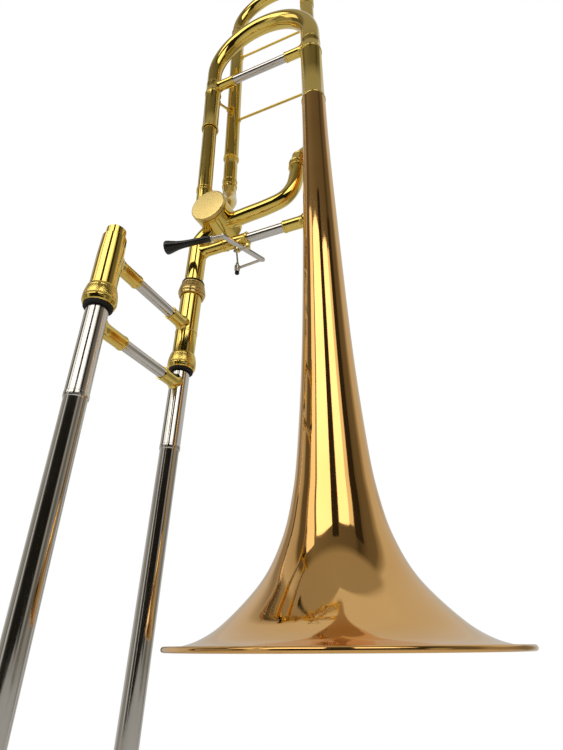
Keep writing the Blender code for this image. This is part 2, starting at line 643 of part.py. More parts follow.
def build_lever_saddle():
    """A sleeve on the lower brace with two ears under it that carry the lever's axle."""
    middle = lower_brace_point(-85.8 * MM)
    reach = (lower_brace_point(0) - middle).normalized() * (12.8 * MM)
    sleeve_r = (6.0 * MM, SOCKET_R[1])
    bead = (6.6 * MM, SOCKET_R[1])
    marks = ((-1, bead), (-0.82, bead), (-0.81, sleeve_r), (0.81, sleeve_r), (0.82, bead), (1, bead))
    saddle = swept("lever_saddle", [(middle + reach * share, *radii) for share, radii in marks], YELLOW_BRASS)
    ear_root = 5.5 * MM     # inside the sleeve's wall
    outline = []
    for angle in (-100, -78, -57, -35):
        turn = math.radians(angle)
        outline.append((middle.y + ear_root * math.cos(turn), LOWER_BRACE_Z + ear_root * math.sin(turn)))
    outline += [(LEVER_AXLE.y + y * MM, LEVER_AXLE.z + z * MM)
                for y, z in ((3.0, 0.6), (2.3, -1.8), (0, -2.8), (-2.3, -1.8), (-3.0, 0.6))]
    for mark, (low, high) in enumerate(((-6.4 * MM, -4.4 * MM), (4.4 * MM, 6.4 * MM))):
        bm = bmesh.new()
        first = [bm.verts.new((LEVER_AXLE.x + low, y, z)) for y, z in outline]
        second = [bm.verts.new((LEVER_AXLE.x + high, y, z)) for y, z in outline]
        skin(bm, first, second)
        bm.faces.new(first)
        bm.faces.new(second)
        combine(saddle, hide_as_tool(add_piece(f"ear_{mark}", bm, None)), "UNION")
    span = Vector((12 * MM, 0, 0))
    combine(saddle, rod_tool("axle_hole", LEVER_AXLE - span, LEVER_AXLE + span, AXLE_RADIUS + GAP, sides=12))

    bm = bmesh.new()
    left, right = Vector((-10.6 * MM, 0, 0)), Vector((7.0 * MM, 0, 0))
    cylinder_between(bm, LEVER_AXLE + left, LEVER_AXLE + right, AXLE_RADIUS, 12)
    add_piece("lever_axle", bm, STEEL)


def flat_bar(bm, start, end, width, thickness):
    """A bar of rectangular section, wide in the horizontal plane."""
    along = (end - start).normalized()
    across = along.cross(Vector((0, 0, 1))).normalized() * (width / 2)
    rise = Vector((0, 0, thickness / 2))
    corners = (across + rise, -across + rise, -across - rise, across - rise)
    low = [bm.verts.new(start + corner) for corner in corners]
    high = [bm.verts.new(end + corner) for corner in corners]
    skin(bm, low, high)
    bm.faces.new(low)
    bm.faces.new(high)


def build_thumb_lever():
    """Points are measured from the lever's axle, which is the frame's origin."""
    hub = Vector((4.1 * MM, 0, 0))
    front = Vector((-9.9, -22.6, 0)) * MM
    back = -front
    ball = LEVER_BALL - LEVER_AXLE
    bar_thickness = 2.2 * MM
    bar_width = 5.0 * MM
    bm = bmesh.new()
    cylinder_between(bm, -hub, hub, LEVER_HUB_RADIUS, 12)
    lever = add_piece("thumb_lever", bm, NICKEL, parent=LEVER_FRAME)
    bm = bmesh.new()
    flat_bar(bm, front, back, bar_width, bar_thickness)
    combine(lever, hide_as_tool(add_piece("lever_bar", bm, None, parent=LEVER_FRAME)), "UNION")
    nose = Vector((0, 0, bar_thickness / 2 + 0.1 * MM))
    grip_tip = Vector((-68.4, -30, 0)) * MM
    grip_axis = (grip_tip - front).normalized()
    grip_start = front + grip_axis * (12.6 * MM)
    rods = (("grip_rod", front, grip_start + grip_axis * (24 * MM), 1.6 * MM),
            ("ball_rod", back + Vector((0.5, -0.8, 0)) * MM, ball + Vector((3.2 * MM, 0, 0)), 1.4 * MM),
            ("front_nose", front - nose, front + nose, bar_width / 2 + 0.3 * MM),
            ("back_nose", back - nose, back + nose, bar_width / 2 + 0.1 * MM))
    for name, start, end, radius in rods:
        combine(lever, rod_tool(f"lever_{name}", start, end, radius, LEVER_FRAME, 10), "UNION")
    combine(lever, rod_tool("lever_bore", -hub * 2, hub * 2, AXLE_RADIUS + GAP, LEVER_FRAME, 12))

    bore = 1.9 * MM
    shares = ((0, 2.9), (0.1, 3.3), (0.55, 3.9), (0.78, 4.8), (0.93, 6.6), (1, 6.9))
    length = (grip_tip - grip_start).length
    profile = [(0, length), *((radius * MM, length * share) for share, radius in shares[::-1]), (bore, 0),
               (bore, 25 * MM), (0, 25 * MM)]
    grip = turned("thumb_grip", profile, BLACK_PLASTIC, grip_start, LEVER_FRAME, loop=False)
    grip.rotation_euler = grip_axis.to_track_quat("Z", "Y").to_euler()


def build_lever_spring():
    """A torsion spring wound on the axle, beside the ear."""
    turns, steps = 3, 8
    coil = 1.6 * MM
    wire = 0.3 * MM
    x_start, pitch = -7.2 * MM, -0.95 * MM
    stations = []
    for i in range(turns * steps + 1):
        turn = 2 * math.pi * i / steps
        x = x_start + pitch * i / steps
        stations.append((LEVER_AXLE + Vector((x, coil * math.cos(turn), coil * math.sin(turn))), wire, 0))
    swept("lever_spring", stations, STEEL, sides=5)


def build_link():
    """The rod from the lever's ball to the stop arm; its upper eye stays clear of the arm."""
    eye = VALVE + Vector((1, 0, -1)) * (STOP_ARM_RADIUS / math.sqrt(2)) - LEVER_BALL
    eye.y = LINK_EYE_Y - LEVER_BALL.y
    along = eye.normalized()
    marks = ((-7.5, 1.6), (-6.0, 2.1), (-2.6, 2.1), (-2.5, 2.9), (3.0, 2.9), (3.1, 2.0), (7.5, 1.6),
             (7.6, 0.9))
    stations = [(Vector((0, 0, height * MM)), radius * MM, 0) for height, radius in marks]
    stations.append((eye - along * (2.0 * MM), 0.9 * MM, 0))
    rod = swept("link_rod", stations, STEEL, parent=LINK_FRAME, sides=ROD_SIDES)
    thick = Vector((0, 1.1 * MM, 0))
    combine(rod, rod_tool("link_eye", eye - thick, eye + thick, 3.4 * MM, LINK_FRAME, 12), "UNION")


# ---------------------------------------------------------------- neckpipe and lock nut

def build_neckpipe():
    """From the valve's lower left port down to the end that receives the slide."""
    to_slide = Matrix.LocRotScale(SLIDE_FRAME.location, SLIDE_FRAME.rotation_euler, None).inverted()
    port = PORTS_DEG["neckpipe"] - 5
    guides = [to_slide @ valve_port(port, 13.5 * MM), to_slide @ valve_port(port, 19.5 * MM),
              Vector((3.3, 0, -15.9)) * MM, Vector((0.3, 0, -22.5)) * MM, Vector((0, 0, -30)) * MM]
    path = smooth_path(guides, 2)
    last = len(path) - 1
    grow = [a - b for a, b in zip(NECKPIPE_R, NECK_R)]
    stations = []
    for i, point in enumerate(path):
        share = min(i / (last - 2), 1)
        stations.append((point, NECK_R[0] + grow[0] * share, NECK_R[1] + grow[1] * share))
    stations.append((Vector((0, 0, NUT_BOTTOM + 4 * MM)), *NECKPIPE_R))
    neckpipe = swept("neckpipe", stations, YELLOW_BRASS, parent=SLIDE_FRAME)
    combine(neckpipe, casing_tool("trim_neckpipe"))


def build_lock_nut():
    bore = 10.3 * MM
    top, bottom = NUT_TOP, NUT_BOTTOM
    profile = [(bore, top), (10.9 * MM, top), (11.8 * MM, top - 3 * MM), (13.0 * MM, bottom + 5 * MM),
               (13.0 * MM, bottom + 2.5 * MM), (12.0 * MM, bottom), (bore, bottom)]
    turned("bell_lock_nut", profile, YELLOW_BRASS, parent=SLIDE_FRAME, sides=20)
    washer = (10.9 * MM, NECKPIPE_R[0] + 2 * GAP)
    pipe("lock_nut_washer", top + GAP, top + 1.8 * MM, washer, RUBBER, parent=SLIDE_FRAME)


# ---------------------------------------------------------------- inner slide

LEFT_FOOT = (0, -SLIDE_SPACING, 0)


def ring_outline():
    """The bulge of the knurled ring at a barrel's lower end, from its top to its bottom."""
    top, bottom = RING_TOP, BARREL_BOTTOM
    return [(11.0 * MM, top), (12.3 * MM, top - 5 * MM), (12.5 * MM, top - 9 * MM),
            (12.1 * MM, bottom + 3 * MM), (11.0 * MM, bottom)]


def build_inner_slide():
    outer, inner = BARREL_R
    neck = INNER_TUBE_R[0] + GAP
    shoulder = INNER_TUBE_TOP - 22 * MM      # below this the barrel opens out over the outer tube
    lip = 7.7 * MM
    profile = [(lip, BARREL_TOP), (lip, BARREL_STEP), (9.2 * MM, BARREL_STEP), (outer, -118 * MM),
               (outer, RING_TOP), *ring_outline(), (inner, BARREL_BOTTOM), (inner, shoulder),
               (neck, shoulder), (neck, INNER_TUBE_TOP + 2 * MM), (RECEIVER_BORE, INNER_TUBE_TOP + 2 * MM),
               (RECEIVER_BORE + 0.3 * MM, BARREL_TOP)]
    turned("mouthpiece_barrel", profile, YELLOW_BRASS, LEFT_FOOT, SLIDE_FRAME)

    tenon = NECKPIPE_R[1] - GAP
    profile = [(tenon, NUT_TOP), (tenon, NUT_BOTTOM + 2 * MM), (outer, NUT_BOTTOM + 2 * MM),
               (outer, BARREL_BOTTOM + 0.4 * MM), (inner, BARREL_BOTTOM + 0.4 * MM), (inner, shoulder),
               (neck, shoulder), (neck, INNER_TUBE_TOP + 2 * MM), (INNER_TUBE_R[1], INNER_TUBE_TOP + 2 * MM),
               (INNER_TUBE_R[1], NUT_TOP)]
    turned("right_cork_barrel", profile, YELLOW_BRASS, parent=SLIDE_FRAME)

    profile = [(outer + GAP, RING_TOP), *ring_outline(), (outer + GAP, BARREL_BOTTOM)]
    turned("slide_lock_ring", profile, YELLOW_BRASS, parent=SLIDE_FRAME, sides=20)
    bumper = (10.6 * MM, OUTER_TUBE_R[0] + GAP)
    for name, foot in (("left_slide_bumper", LEFT_FOOT), ("right_slide_bumper", (0, 0, 0))):
        pipe(name, BUMPER_BOTTOM, BARREL_BOTTOM - GAP, bumper, RUBBER, foot, SLIDE_FRAME)

    tube, bore = INNER_TUBE_R
    profile = [(tube, INNER_TUBE_TOP), (tube, STOCKING_TOP), (STOCKING_RADIUS, STOCKING_TOP),
               (STOCKING_RADIUS, INNER_TUBE_BOTTOM), (bore, INNER_TUBE_BOTTOM), (bore, INNER_TUBE_TOP)]
    turned("left_inner_tube", profile, NICKEL, LEFT_FOOT, SLIDE_FRAME)
    turned("right_inner_tube", profile, NICKEL, parent=SLIDE_FRAME)
    pipe("leadpipe", -300 * MM, INNER_TUBE_TOP - 1 * MM, (bore - GAP, bore - GAP - 0.6 * MM), YELLOW_BRASS,
         LEFT_FOOT, SLIDE_FRAME)

    left = Vector((0, -SLIDE_SPACING, INNER_BRACE))
    right = Vector((0, 0, INNER_BRACE))
    build_brace("inner", left, right, (outer, outer), (33 * MM, 27 * MM), SLIDE_FRAME)


# ---------------------------------------------------------------- outer slide

def build_outer_slide():
    outer, inner = OUTER_TUBE_R
    sleeve_top = BUMPER_BOTTOM - GAP
    profile = [(outer, OUTER_TUBE_TOP), (outer, sleeve_top), (OVERSLEEVE_RADIUS, sleeve_top),
               (OVERSLEEVE_RADIUS, OVERSLEEVE_END), (outer, OVERSLEEVE_END), (outer, OUTER_TUBE_BOTTOM),
               (inner, OUTER_TUBE_BOTTOM), (inner, OUTER_TUBE_TOP)]
    turned("left_outer_tube", profile, NICKEL, LEFT_FOOT, SLIDE_FRAME)
    turned("right_outer_tube", profile, NICKEL, parent=SLIDE_FRAME)

    left = Vector((0, -SLIDE_SPACING, OUTER_BRACE))
    right = Vector((0, 0, OUTER_BRACE))
    build_brace("outer", left, right, (OVERSLEEVE_RADIUS, OVERSLEEVE_RADIUS), (31 * MM, 25 * MM), SLIDE_FRAME)

    ferrule_top = OUTER_TUBE_BOTTOM + 12 * MM
    wide = (OUTER_TUBE_R[0] + GAP + 0.7 * MM, OUTER_TUBE_R[0] + GAP)
    start = OUTER_TUBE_BOTTOM - 5 * MM
    middle = Vector((0, -SLIDE_SPACING / 2, start))
    arm = Vector((0, -SLIDE_SPACING / 2, 0))
    up = Vector((0, 0, 1))
    step = 0.1 * MM
    stations = []
    for foot in (Vector(LEFT_FOOT), Vector((0, 0, 0))):
        leg = [(foot + up * ferrule_top, *wide), (foot + up * (OUTER_TUBE_BOTTOM - GAP), *wide),
               (foot + up * (OUTER_TUBE_BOTTOM - GAP - step), *SLIDE_CROOK_R)]
        stations.append(leg)
    arch = []
    steps = 10
    for i in range(steps + 1):
        turn = math.pi * i / steps
        arch.append((middle + arm * math.cos(turn) - up * (arm.length * math.sin(turn)), *SLIDE_CROOK_R))
    swept("slide_crook", stations[0] + arch + stations[1][::-1], NICKEL, parent=SLIDE_FRAME)

    crown = middle.z - arm.length - SLIDE_CROOK_R[0] - GAP
    profile = [(0, crown), (5.0 * MM, crown), (6.0 * MM, crown - 4 * MM), (6.0 * MM, crown - 9 * MM),
               (4.8 * MM, crown - 11 * MM), (0, crown - 11 * MM)]
    turned("crook_bumper", profile, RUBBER, (0, middle.y, 0), SLIDE_FRAME, loop=False)


# ---------------------------------------------------------------- water key

WATER_KEY_AXIS = Vector((0, -SLIDE_SPACING - OVERSLEEVE_RADIUS - 6.4 * MM, OUTER_TUBE_BOTTOM + 36 * MM))


def build_water_key():
    """A sprung lever on the left tube; its pad closes a short nipple below the hinge."""
    key_frame = make_empty("water_key_axis", WATER_KEY_AXIS, parent=SLIDE_FRAME)
    tube_y = -SLIDE_SPACING
    surface = tube_y - OUTER_TUBE_R[0]
    nipple_z = WATER_KEY_AXIS.z - 16 * MM
    pad_face = surface - 4 * MM

    bm = bmesh.new()
    inside = tube_y + 2 * MM
    cylinder_between(bm, Vector((0, inside, nipple_z)), Vector((0, pad_face, nipple_z)), 3.0 * MM, 12)
    saddle = add_piece("water_key_saddle", bm, NICKEL, parent=SLIDE_FRAME)
    base = rod_tool("key_band", Vector((0, tube_y, nipple_z - 5 * MM)),
                    Vector((0, tube_y, WATER_KEY_AXIS.z + 5 * MM)), OUTER_TUBE_R[0] + GAP + 0.8 * MM, SLIDE_FRAME)
    combine(saddle, base, "UNION")
    for mark, side in (("low", -1), ("high", 1)):
        near = Vector((side * 3.2 * MM, surface + 1 * MM, WATER_KEY_AXIS.z))
        ear = rod_tool(f"key_ear_{mark}", near, Vector((near.x, WATER_KEY_AXIS.y - 1.6 * MM, near.z)),
                       1.3 * MM, SLIDE_FRAME, 8)
        combine(saddle, ear, "UNION")
    bore = rod_tool("key_bore", Vector((0, tube_y, nipple_z - 20 * MM)),
                    Vector((0, tube_y, WATER_KEY_AXIS.z + 20 * MM)), OUTER_TUBE_R[0] + GAP, SLIDE_FRAME)
    combine(saddle, bore)

    bm = bmesh.new()
    barrel = Vector((1.5 * MM, 0, 0))
    cylinder_between(bm, -barrel, barrel, 1.7 * MM)
    key = add_piece("water_key", bm, NICKEL, parent=key_frame)
    rise = Vector((0, -1.2 * MM, 0))
    pieces = (("key_arm", rise + Vector((0, 0, -16.5 * MM)), rise + Vector((0, 0, 17 * MM)), 1.2 * MM),
              ("key_touch", rise + Vector((0, 0, 15 * MM)), rise + Vector((0, -4 * MM, 24 * MM)), 2.6 * MM))
    for name, start, end, radius in pieces:
        combine(key, rod_tool(name, start, end, radius, key_frame, 8), "UNION")

    pad_out = pad_face - GAP
    arm_y = WATER_KEY_AXIS.y + rise.y
    cup = rod_tool("key_cup", Vector((0, pad_out - 1.6 * MM, nipple_z)) - WATER_KEY_AXIS,
                   Vector((0, arm_y - 0.6 * MM, nipple_z)) - WATER_KEY_AXIS, 3.9 * MM, key_frame, 12)
    combine(key, cup, "UNION")
    bm = bmesh.new()
    cylinder_between(bm, Vector((0, pad_out, nipple_z)) - WATER_KEY_AXIS,
                     Vector((0, pad_out - 1.6 * MM + GAP, nipple_z)) - WATER_KEY_AXIS, 3.4 * MM, 12)
    add_piece("water_key_cork", bm, CORK, parent=key_frame)


build_bell()
build_sleeves()
build_neck_tube()
build_tuning_slide()
build_lower_brace()
build_stays()
build_f_attachment()
build_valve()
build_rotor()
build_stop_work()
build_lever_saddle()
build_thumb_lever()
build_lever_spring()
build_link()
build_neckpipe()
build_lock_nut()
build_inner_slide()
build_outer_slide()
build_water_key()
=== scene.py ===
"""Looks of the trombone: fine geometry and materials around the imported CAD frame.

Every piece is built in the row frame, in metres, and its place comes from the CAD nodes'
boxes and the joints. Objects sit at the origin, so object coordinates are the row frame's.
"""
import json
import math

import bmesh
import bpy
from mathutils import Matrix, Vector


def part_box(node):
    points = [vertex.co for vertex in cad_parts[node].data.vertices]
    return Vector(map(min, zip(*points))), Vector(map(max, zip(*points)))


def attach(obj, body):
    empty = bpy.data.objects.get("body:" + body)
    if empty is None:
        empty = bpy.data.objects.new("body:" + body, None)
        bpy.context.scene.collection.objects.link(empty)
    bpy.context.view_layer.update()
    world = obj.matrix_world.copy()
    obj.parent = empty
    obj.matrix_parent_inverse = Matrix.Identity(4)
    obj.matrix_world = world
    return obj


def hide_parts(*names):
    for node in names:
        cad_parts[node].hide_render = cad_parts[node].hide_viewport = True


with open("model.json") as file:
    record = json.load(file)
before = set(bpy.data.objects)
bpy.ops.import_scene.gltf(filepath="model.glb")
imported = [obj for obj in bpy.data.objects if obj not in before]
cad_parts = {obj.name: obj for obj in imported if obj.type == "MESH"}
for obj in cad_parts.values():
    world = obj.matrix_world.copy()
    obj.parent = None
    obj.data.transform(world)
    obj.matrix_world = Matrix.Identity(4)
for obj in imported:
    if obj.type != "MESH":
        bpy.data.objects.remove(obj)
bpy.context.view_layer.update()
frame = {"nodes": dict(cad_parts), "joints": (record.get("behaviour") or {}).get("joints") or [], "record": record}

MM = 0.001
UP = Vector((0, 0, 1))
JOINTS = {joint["name"]: joint for joint in frame["joints"]}

# Camera: lens, and place and angles in metres and radians
LENS_MM = 24.72
SENSOR_MM = 36.0
CAMERA_PLACE = Vector((0.104, -0.338, 0.0026))
CAMERA_YAW = -0.4011
CAMERA_PITCH = 0.486
CAMERA_ROLL = -0.0062

FLOOR_Z = -1.05         # below the hand slide's seventh position


# ---------------------------------------------------------------- materials

def new_material(name):
    material = bpy.data.materials.new(name)
    material.use_nodes = True
    tree = material.node_tree
    return material, tree, tree.nodes["Principled BSDF"]


def add_node(tree, kind, **inputs):
    node = tree.nodes.new(kind)
    for key, value in inputs.items():
        node.inputs[key.replace("_", " ")].default_value = value
    return node


def coordinates(tree, stretch=(1, 1, 1)):
    """Object coordinates, which are the row frame's metres, scaled by stretch."""
    source = tree.nodes.new("ShaderNodeTexCoord")
    mapping = tree.nodes.new("ShaderNodeMapping")
    mapping.inputs["Scale"].default_value = stretch
    tree.links.new(source.outputs["Object"], mapping.inputs["Vector"])
    return mapping.outputs["Vector"]


def noise(tree, vector, scale, detail=3.0, roughness=0.5):
    node = add_node(tree, "ShaderNodeTexNoise", Scale=scale, Detail=detail, Roughness=roughness)
    tree.links.new(vector, node.inputs["Vector"])
    return node.outputs["Fac"]


def ramp(tree, value, stops):
    """Colour ramp of (position, colour) stops."""
    node = tree.nodes.new("ShaderNodeValToRGB")
    elements = node.color_ramp.elements
    while len(elements) < len(stops):
        elements.new(0.5)
    for element, (position, colour) in zip(elements, stops):
        element.position = position
        element.color = (*colour, 1.0)
    tree.links.new(value, node.inputs["Fac"])
    return node.outputs["Color"]


def remap(tree, value, low, high, from_low=0.3, from_high=0.7):
    node = tree.nodes.new("ShaderNodeMapRange")
    settings = {"From Min": from_low, "From Max": from_high, "To Min": low, "To Max": high}
    for key, setting in settings.items():
        node.inputs[key].default_value = setting
    tree.links.new(value, node.inputs["Value"])
    return node.outputs["Result"]


def bump(tree, shader, height, strength, distance):
    node = add_node(tree, "ShaderNodeBump", Strength=strength, Distance=distance)
    tree.links.new(height, node.inputs["Height"])
    tree.links.new(node.outputs["Normal"], shader.inputs["Normal"])


def polished_metal(name, light, dark, smooth, dull, coat=0.0, grain=(1, 1, 1), bump_strength=0.02):
    """Polished metal: the colour wanders between light and dark in broad soft patches, the
    roughness between smooth and dull, and fine polishing marks run along grain."""
    material, tree, shader = new_material(name)
    shader.inputs["Metallic"].default_value = 1.0
    shader.inputs["Coat Weight"].default_value = coat
    shader.inputs["Coat Roughness"].default_value = 0.04
    place = coordinates(tree)
    patches = noise(tree, place, 14, 4)
    colour = ramp(tree, patches, [(0.32, dark), (0.62, light)])
    tree.links.new(colour, shader.inputs["Base Color"])
    marks = noise(tree, coordinates(tree, grain), 700, 4, 0.6)
    wear = noise(tree, place, 45, 5, 0.65)
    both = tree.nodes.new("ShaderNodeMath")
    both.operation = "MULTIPLY"
    tree.links.new(marks, both.inputs[0])
    tree.links.new(wear, both.inputs[1])
    tree.links.new(remap(tree, both.outputs[0], smooth, dull, 0.12, 0.42), shader.inputs["Roughness"])
    bump(tree, shader, marks, bump_strength, 0.00004)
    return material


def dull_material(name, light, dark, roughness, grain_scale, bump_strength=0.3):
    """Rubber, cork or plastic: a mottled, non-metallic surface with fine grain."""
    material, tree, shader = new_material(name)
    shader.inputs["Metallic"].default_value = 0.0
    place = coordinates(tree)
    grain = noise(tree, place, grain_scale, 6, 0.6)
    colour = ramp(tree, grain, [(0.35, dark), (0.65, light)])
    tree.links.new(colour, shader.inputs["Base Color"])
    smudges = noise(tree, place, 90, 3)
    tree.links.new(remap(tree, smudges, roughness * 0.8, roughness * 1.25), shader.inputs["Roughness"])
    bump(tree, shader, grain, bump_strength, 0.00008)
    return material


YELLOW = polished_metal("yellow_brass_lacquer", (0.88, 0.66, 0.165), (0.80, 0.57, 0.12), 0.05, 0.11, 0.25)
GOLD = polished_metal("gold_brass_lacquer", (0.88, 0.51, 0.18), (0.82, 0.46, 0.15), 0.03, 0.08, 0.2)
NICKEL = polished_metal("nickel_silver", (0.72, 0.69, 0.66), (0.63, 0.60, 0.57), 0.06, 0.18,
                        grain=(1, 1, 0.06))
STEEL = polished_metal("polished_steel", (0.62, 0.61, 0.60), (0.48, 0.47, 0.46), 0.15, 0.38, 0.0)
BRONZE = polished_metal("knurled_brass", (0.72, 0.51, 0.18), (0.55, 0.37, 0.12), 0.16, 0.36, 0.1)
SATIN = polished_metal("satin_brass", (0.88, 0.68, 0.27), (0.83, 0.61, 0.21), 0.26, 0.38, 0.1)
BLACK = dull_material("black_plastic", (0.013, 0.013, 0.015), (0.007, 0.007, 0.008), 0.26, 800, 0.08)
RUBBER = dull_material("black_rubber", (0.018, 0.017, 0.016), (0.009, 0.009, 0.009), 0.70, 600, 0.30)
CORK = dull_material("cork", (0.62, 0.43, 0.25), (0.36, 0.22, 0.11), 0.85, 420, 0.80)

FACING = {"yellow_brass_lacquer": YELLOW, "gold_brass_lacquer": GOLD, "nickel_silver": NICKEL,
          "polished_steel": STEEL, "black_plastic": BLACK, "black_rubber": RUBBER, "cork": CORK}


def dress_cad_nodes():
    """Every carried-over CAD node takes the fine material of its slot."""
    for part in frame["record"]["subparts"]:
        node = frame["nodes"][part["node"]]
        node.data.materials.clear()
        node.data.materials.append(FACING[part["material_slot"]])


# ---------------------------------------------------------------- building round pieces

def finish_piece(name, bm, material, body, replaced=(), sharp_deg=32):
    bmesh.ops.recalc_face_normals(bm, faces=bm.faces)
    mesh = bpy.data.meshes.new(name)
    bm.to_mesh(mesh)
    bm.free()
    mesh.shade_smooth()
    mesh.set_sharp_from_angle(angle=math.radians(sharp_deg))
    mesh.materials.append(material)
    piece = bpy.data.objects.new(name, mesh)
    bpy.context.scene.collection.objects.link(piece)
    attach(piece, body)
    if replaced:
        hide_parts(*replaced)
    return piece


def skin(bm, first, second):
    """Faces between two rings, either of which may be a single vertex."""
    count = max(len(first), len(second))
    for i in range(count):
        j = (i + 1) % count
        if len(first) == 1:
            bm.faces.new((first[0], second[i], second[j]))
        elif len(second) == 1:
            bm.faces.new((first[i], first[j], second[0]))
        else:
            bm.faces.new((first[i], first[j], second[j], second[i]))


def cross_axes(axis):
    reference = Vector((1, 0, 0)) if abs(axis.x) < 0.9 else Vector((0, 1, 0))
    side = (reference - axis * reference.dot(axis)).normalized()
    return side, axis.cross(side)


def ring(bm, centre, side_a, side_b, radius, sides):
    if radius < 1e-7:
        return [bm.verts.new(centre)]
    turns = [2 * math.pi * i / sides for i in range(sides)]
    return [bm.verts.new(centre + radius * (side_a * math.cos(t) + side_b * math.sin(t))) for t in turns]


def rounded(profile, radius, closed=True):
    """The profile with each sharp corner turned into a small arc of three points."""
    points = [Vector(point) for point in profile]
    count = len(points)
    result = []
    for i, point in enumerate(points):
        if not closed and i in (0, count - 1):
            result.append(point)
            continue
        before, after = points[i - 1] - point, points[(i + 1) % count] - point
        if before.length < 1e-9 or after.length < 1e-9 or before.angle(after) > math.radians(165):
            result.append(point)
            continue
        cut = min(radius, before.length * 0.45, after.length * 0.45)
        start = point + before.normalized() * cut
        end = point + after.normalized() * cut
        result += [start, (start + end + point * 2) / 4, end]
    return result


def lathe(name, profile, place, material, body, replaced=(), sides=64, closed=True, edge=0.15 * MM,
          surface=None):
    """Turn a profile of (radius, height) about place's Z axis. surface, if given, changes
    a point's radius from its (radius, turn, height)."""
    bm = bmesh.new()
    outline = rounded(profile, edge, closed) if edge else [Vector(point) for point in profile]
    rings = []
    for radius, height in outline:
        if radius < 1e-7:
            rings.append([bm.verts.new(place @ Vector((0, 0, height)))])
            continue
        row = []
        for i in range(sides):
            turn = 2 * math.pi * i / sides
            reach = surface(radius, turn, height) if surface else radius
            row.append(bm.verts.new(place @ Vector((reach * math.cos(turn), reach * math.sin(turn), height))))
        rings.append(row)
    for first, second in zip(rings, rings[1:]):
        skin(bm, first, second)
    if closed:
        skin(bm, rings[-1], rings[0])
    return finish_piece(name, bm, material, body, replaced)


def outline_mm(base, *points):
    """Outline points given in millimetres, with heights counted from base."""
    return [(radius * MM, base + height * MM) for radius, height in points]


def points_mm(*points):
    """Points in space given in millimetres."""
    return [Vector(point) * MM for point in points]


def directions(points):
    last = len(points) - 1
    spans = [points[min(i + 1, last)] - points[max(i - 1, 0)] for i in range(last + 1)]
    return [span.normalized() for span in spans]


def sweep(name, stations, material, body, replaced=(), sides=48):
    """A bent tube along stations of (point, outer radius, inner radius); an inner radius of
    zero all along makes a solid rod."""
    bm = bmesh.new()
    points = [station[0] for station in stations]
    tangents = directions(points)
    side = cross_axes(tangents[0])[0]
    outside, inside = [], []
    for (point, outer, inner), tangent in zip(stations, tangents):
        side = (side - tangent * side.dot(tangent)).normalized()
        other = tangent.cross(side)
        outside.append(ring(bm, point, side, other, outer, sides))
        if inner > 0:
            inside.append(ring(bm, point, side, other, inner, sides))
    for rings in (outside, inside):
        for first, second in zip(rings, rings[1:]):
            skin(bm, first, second)
    if inside:
        skin(bm, outside[0], inside[0])
        skin(bm, outside[-1], inside[-1])
    else:
        bm.faces.new(outside[0])
        bm.faces.new(outside[-1])
    return finish_piece(name, bm, material, body, replaced)


def smooth_path(guides, steps):
    """Points on a Catmull-Rom curve through the guides, steps to each span."""
    ends = [guides[0] * 2 - guides[1], *guides, guides[-1] * 2 - guides[-2]]
    points = []
    for a, b, c, d in zip(ends, ends[1:], ends[2:], ends[3:]):
        for i in range(steps):
            t = i / steps
            bend = (a * 2 - b * 5 + c * 4 - d) * t * t + (b * 3 - a - c * 3 + d) * t ** 3
            points.append((b * 2 + (c - a) * t + bend) / 2)
    return [*points, guides[-1]]


def ringed(stations, rings, rise=0.8 * MM, half=1.1 * MM):
    """The stations of a tube with half-round beads added at the given distances along it."""
    lengths = [0.0]
    for first, second in zip(stations, stations[1:]):
        lengths.append(lengths[-1] + (second[0] - first[0]).length)

    def at(distance):
        for i in range(len(stations) - 1):
            if lengths[i + 1] >= distance:
                span = max(lengths[i + 1] - lengths[i], 1e-9)
                share = (distance - lengths[i]) / span
                a, b = stations[i], stations[i + 1]
                return (a[0].lerp(b[0], share), a[1] + (b[1] - a[1]) * share, a[2] + (b[2] - a[2]) * share)
        return stations[-1]

    marks = [(length, station, 0.0) for length, station in zip(lengths, stations)
             if not any(abs(length - r) <= half for r in rings)]
    for distance in rings:
        for i in range(7):
            turn = math.pi * i / 6
            spot = distance - half * math.cos(turn)
            marks.append((spot, at(spot), rise * math.sin(turn)))
    marks.sort(key=lambda mark: mark[0])
    return [(point, outer + lift, inner) for _, (point, outer, inner), lift in marks]


def straight(start, end, outer, inner, steps=1):
    return [(start.lerp(end, i / steps), outer, inner) for i in range(steps + 1)]


def moved(place):
    return Matrix.Translation(place)


def looking(place, axis):
    """A frame at place with its Z along axis."""
    axis = axis.normalized()
    side, across = cross_axes(axis)
    return Matrix.Translation(place) @ Matrix((side, across, axis)).transposed().to_4x4()


def middle(node):
    low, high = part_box(node)
    return (low + high) / 2


# ---------------------------------------------------------------- places read from the frame

def slide_frame():
    """The slide section's frame: Z up its tubes, Y from the left tube to the right one."""
    joint = JOINTS["slide_swivel"]
    axis = Vector(joint["axis"]).normalized()
    across = middle("right_inner_tube") - middle("left_inner_tube")
    across = (across - axis * across.dot(axis)).normalized()
    turn = Matrix((across.cross(axis), across, axis)).transposed().to_4x4()
    return Matrix.Translation(joint["pos_m"]) @ turn


SLIDE = slide_frame()
TO_SLIDE = SLIDE.inverted()
SPACING = (middle("right_inner_tube") - middle("left_inner_tube")).length
LEFT = SLIDE @ Matrix.Translation((0, -SPACING, 0))
VALVE = Vector(JOINTS["valve_rotor"]["pos_m"])
LEVER = Vector(JOINTS["thumb_lever"]["pos_m"])
BALL = Vector(JOINTS["link_rod"]["pos_m"])
NECK = Vector((middle("tuning_neck_leg").x, middle("tuning_neck_leg").y, 0))
F_LEFT = Vector((middle("f_left_leg").x, middle("f_left_leg").y, 0))
F_RIGHT = Vector((middle("f_right_leg").x, middle("f_right_leg").y, 0))


def along_slide(x, y, s):
    """A point of the slide section's frame, in the row frame."""
    return SLIDE @ Vector((x, y, s))


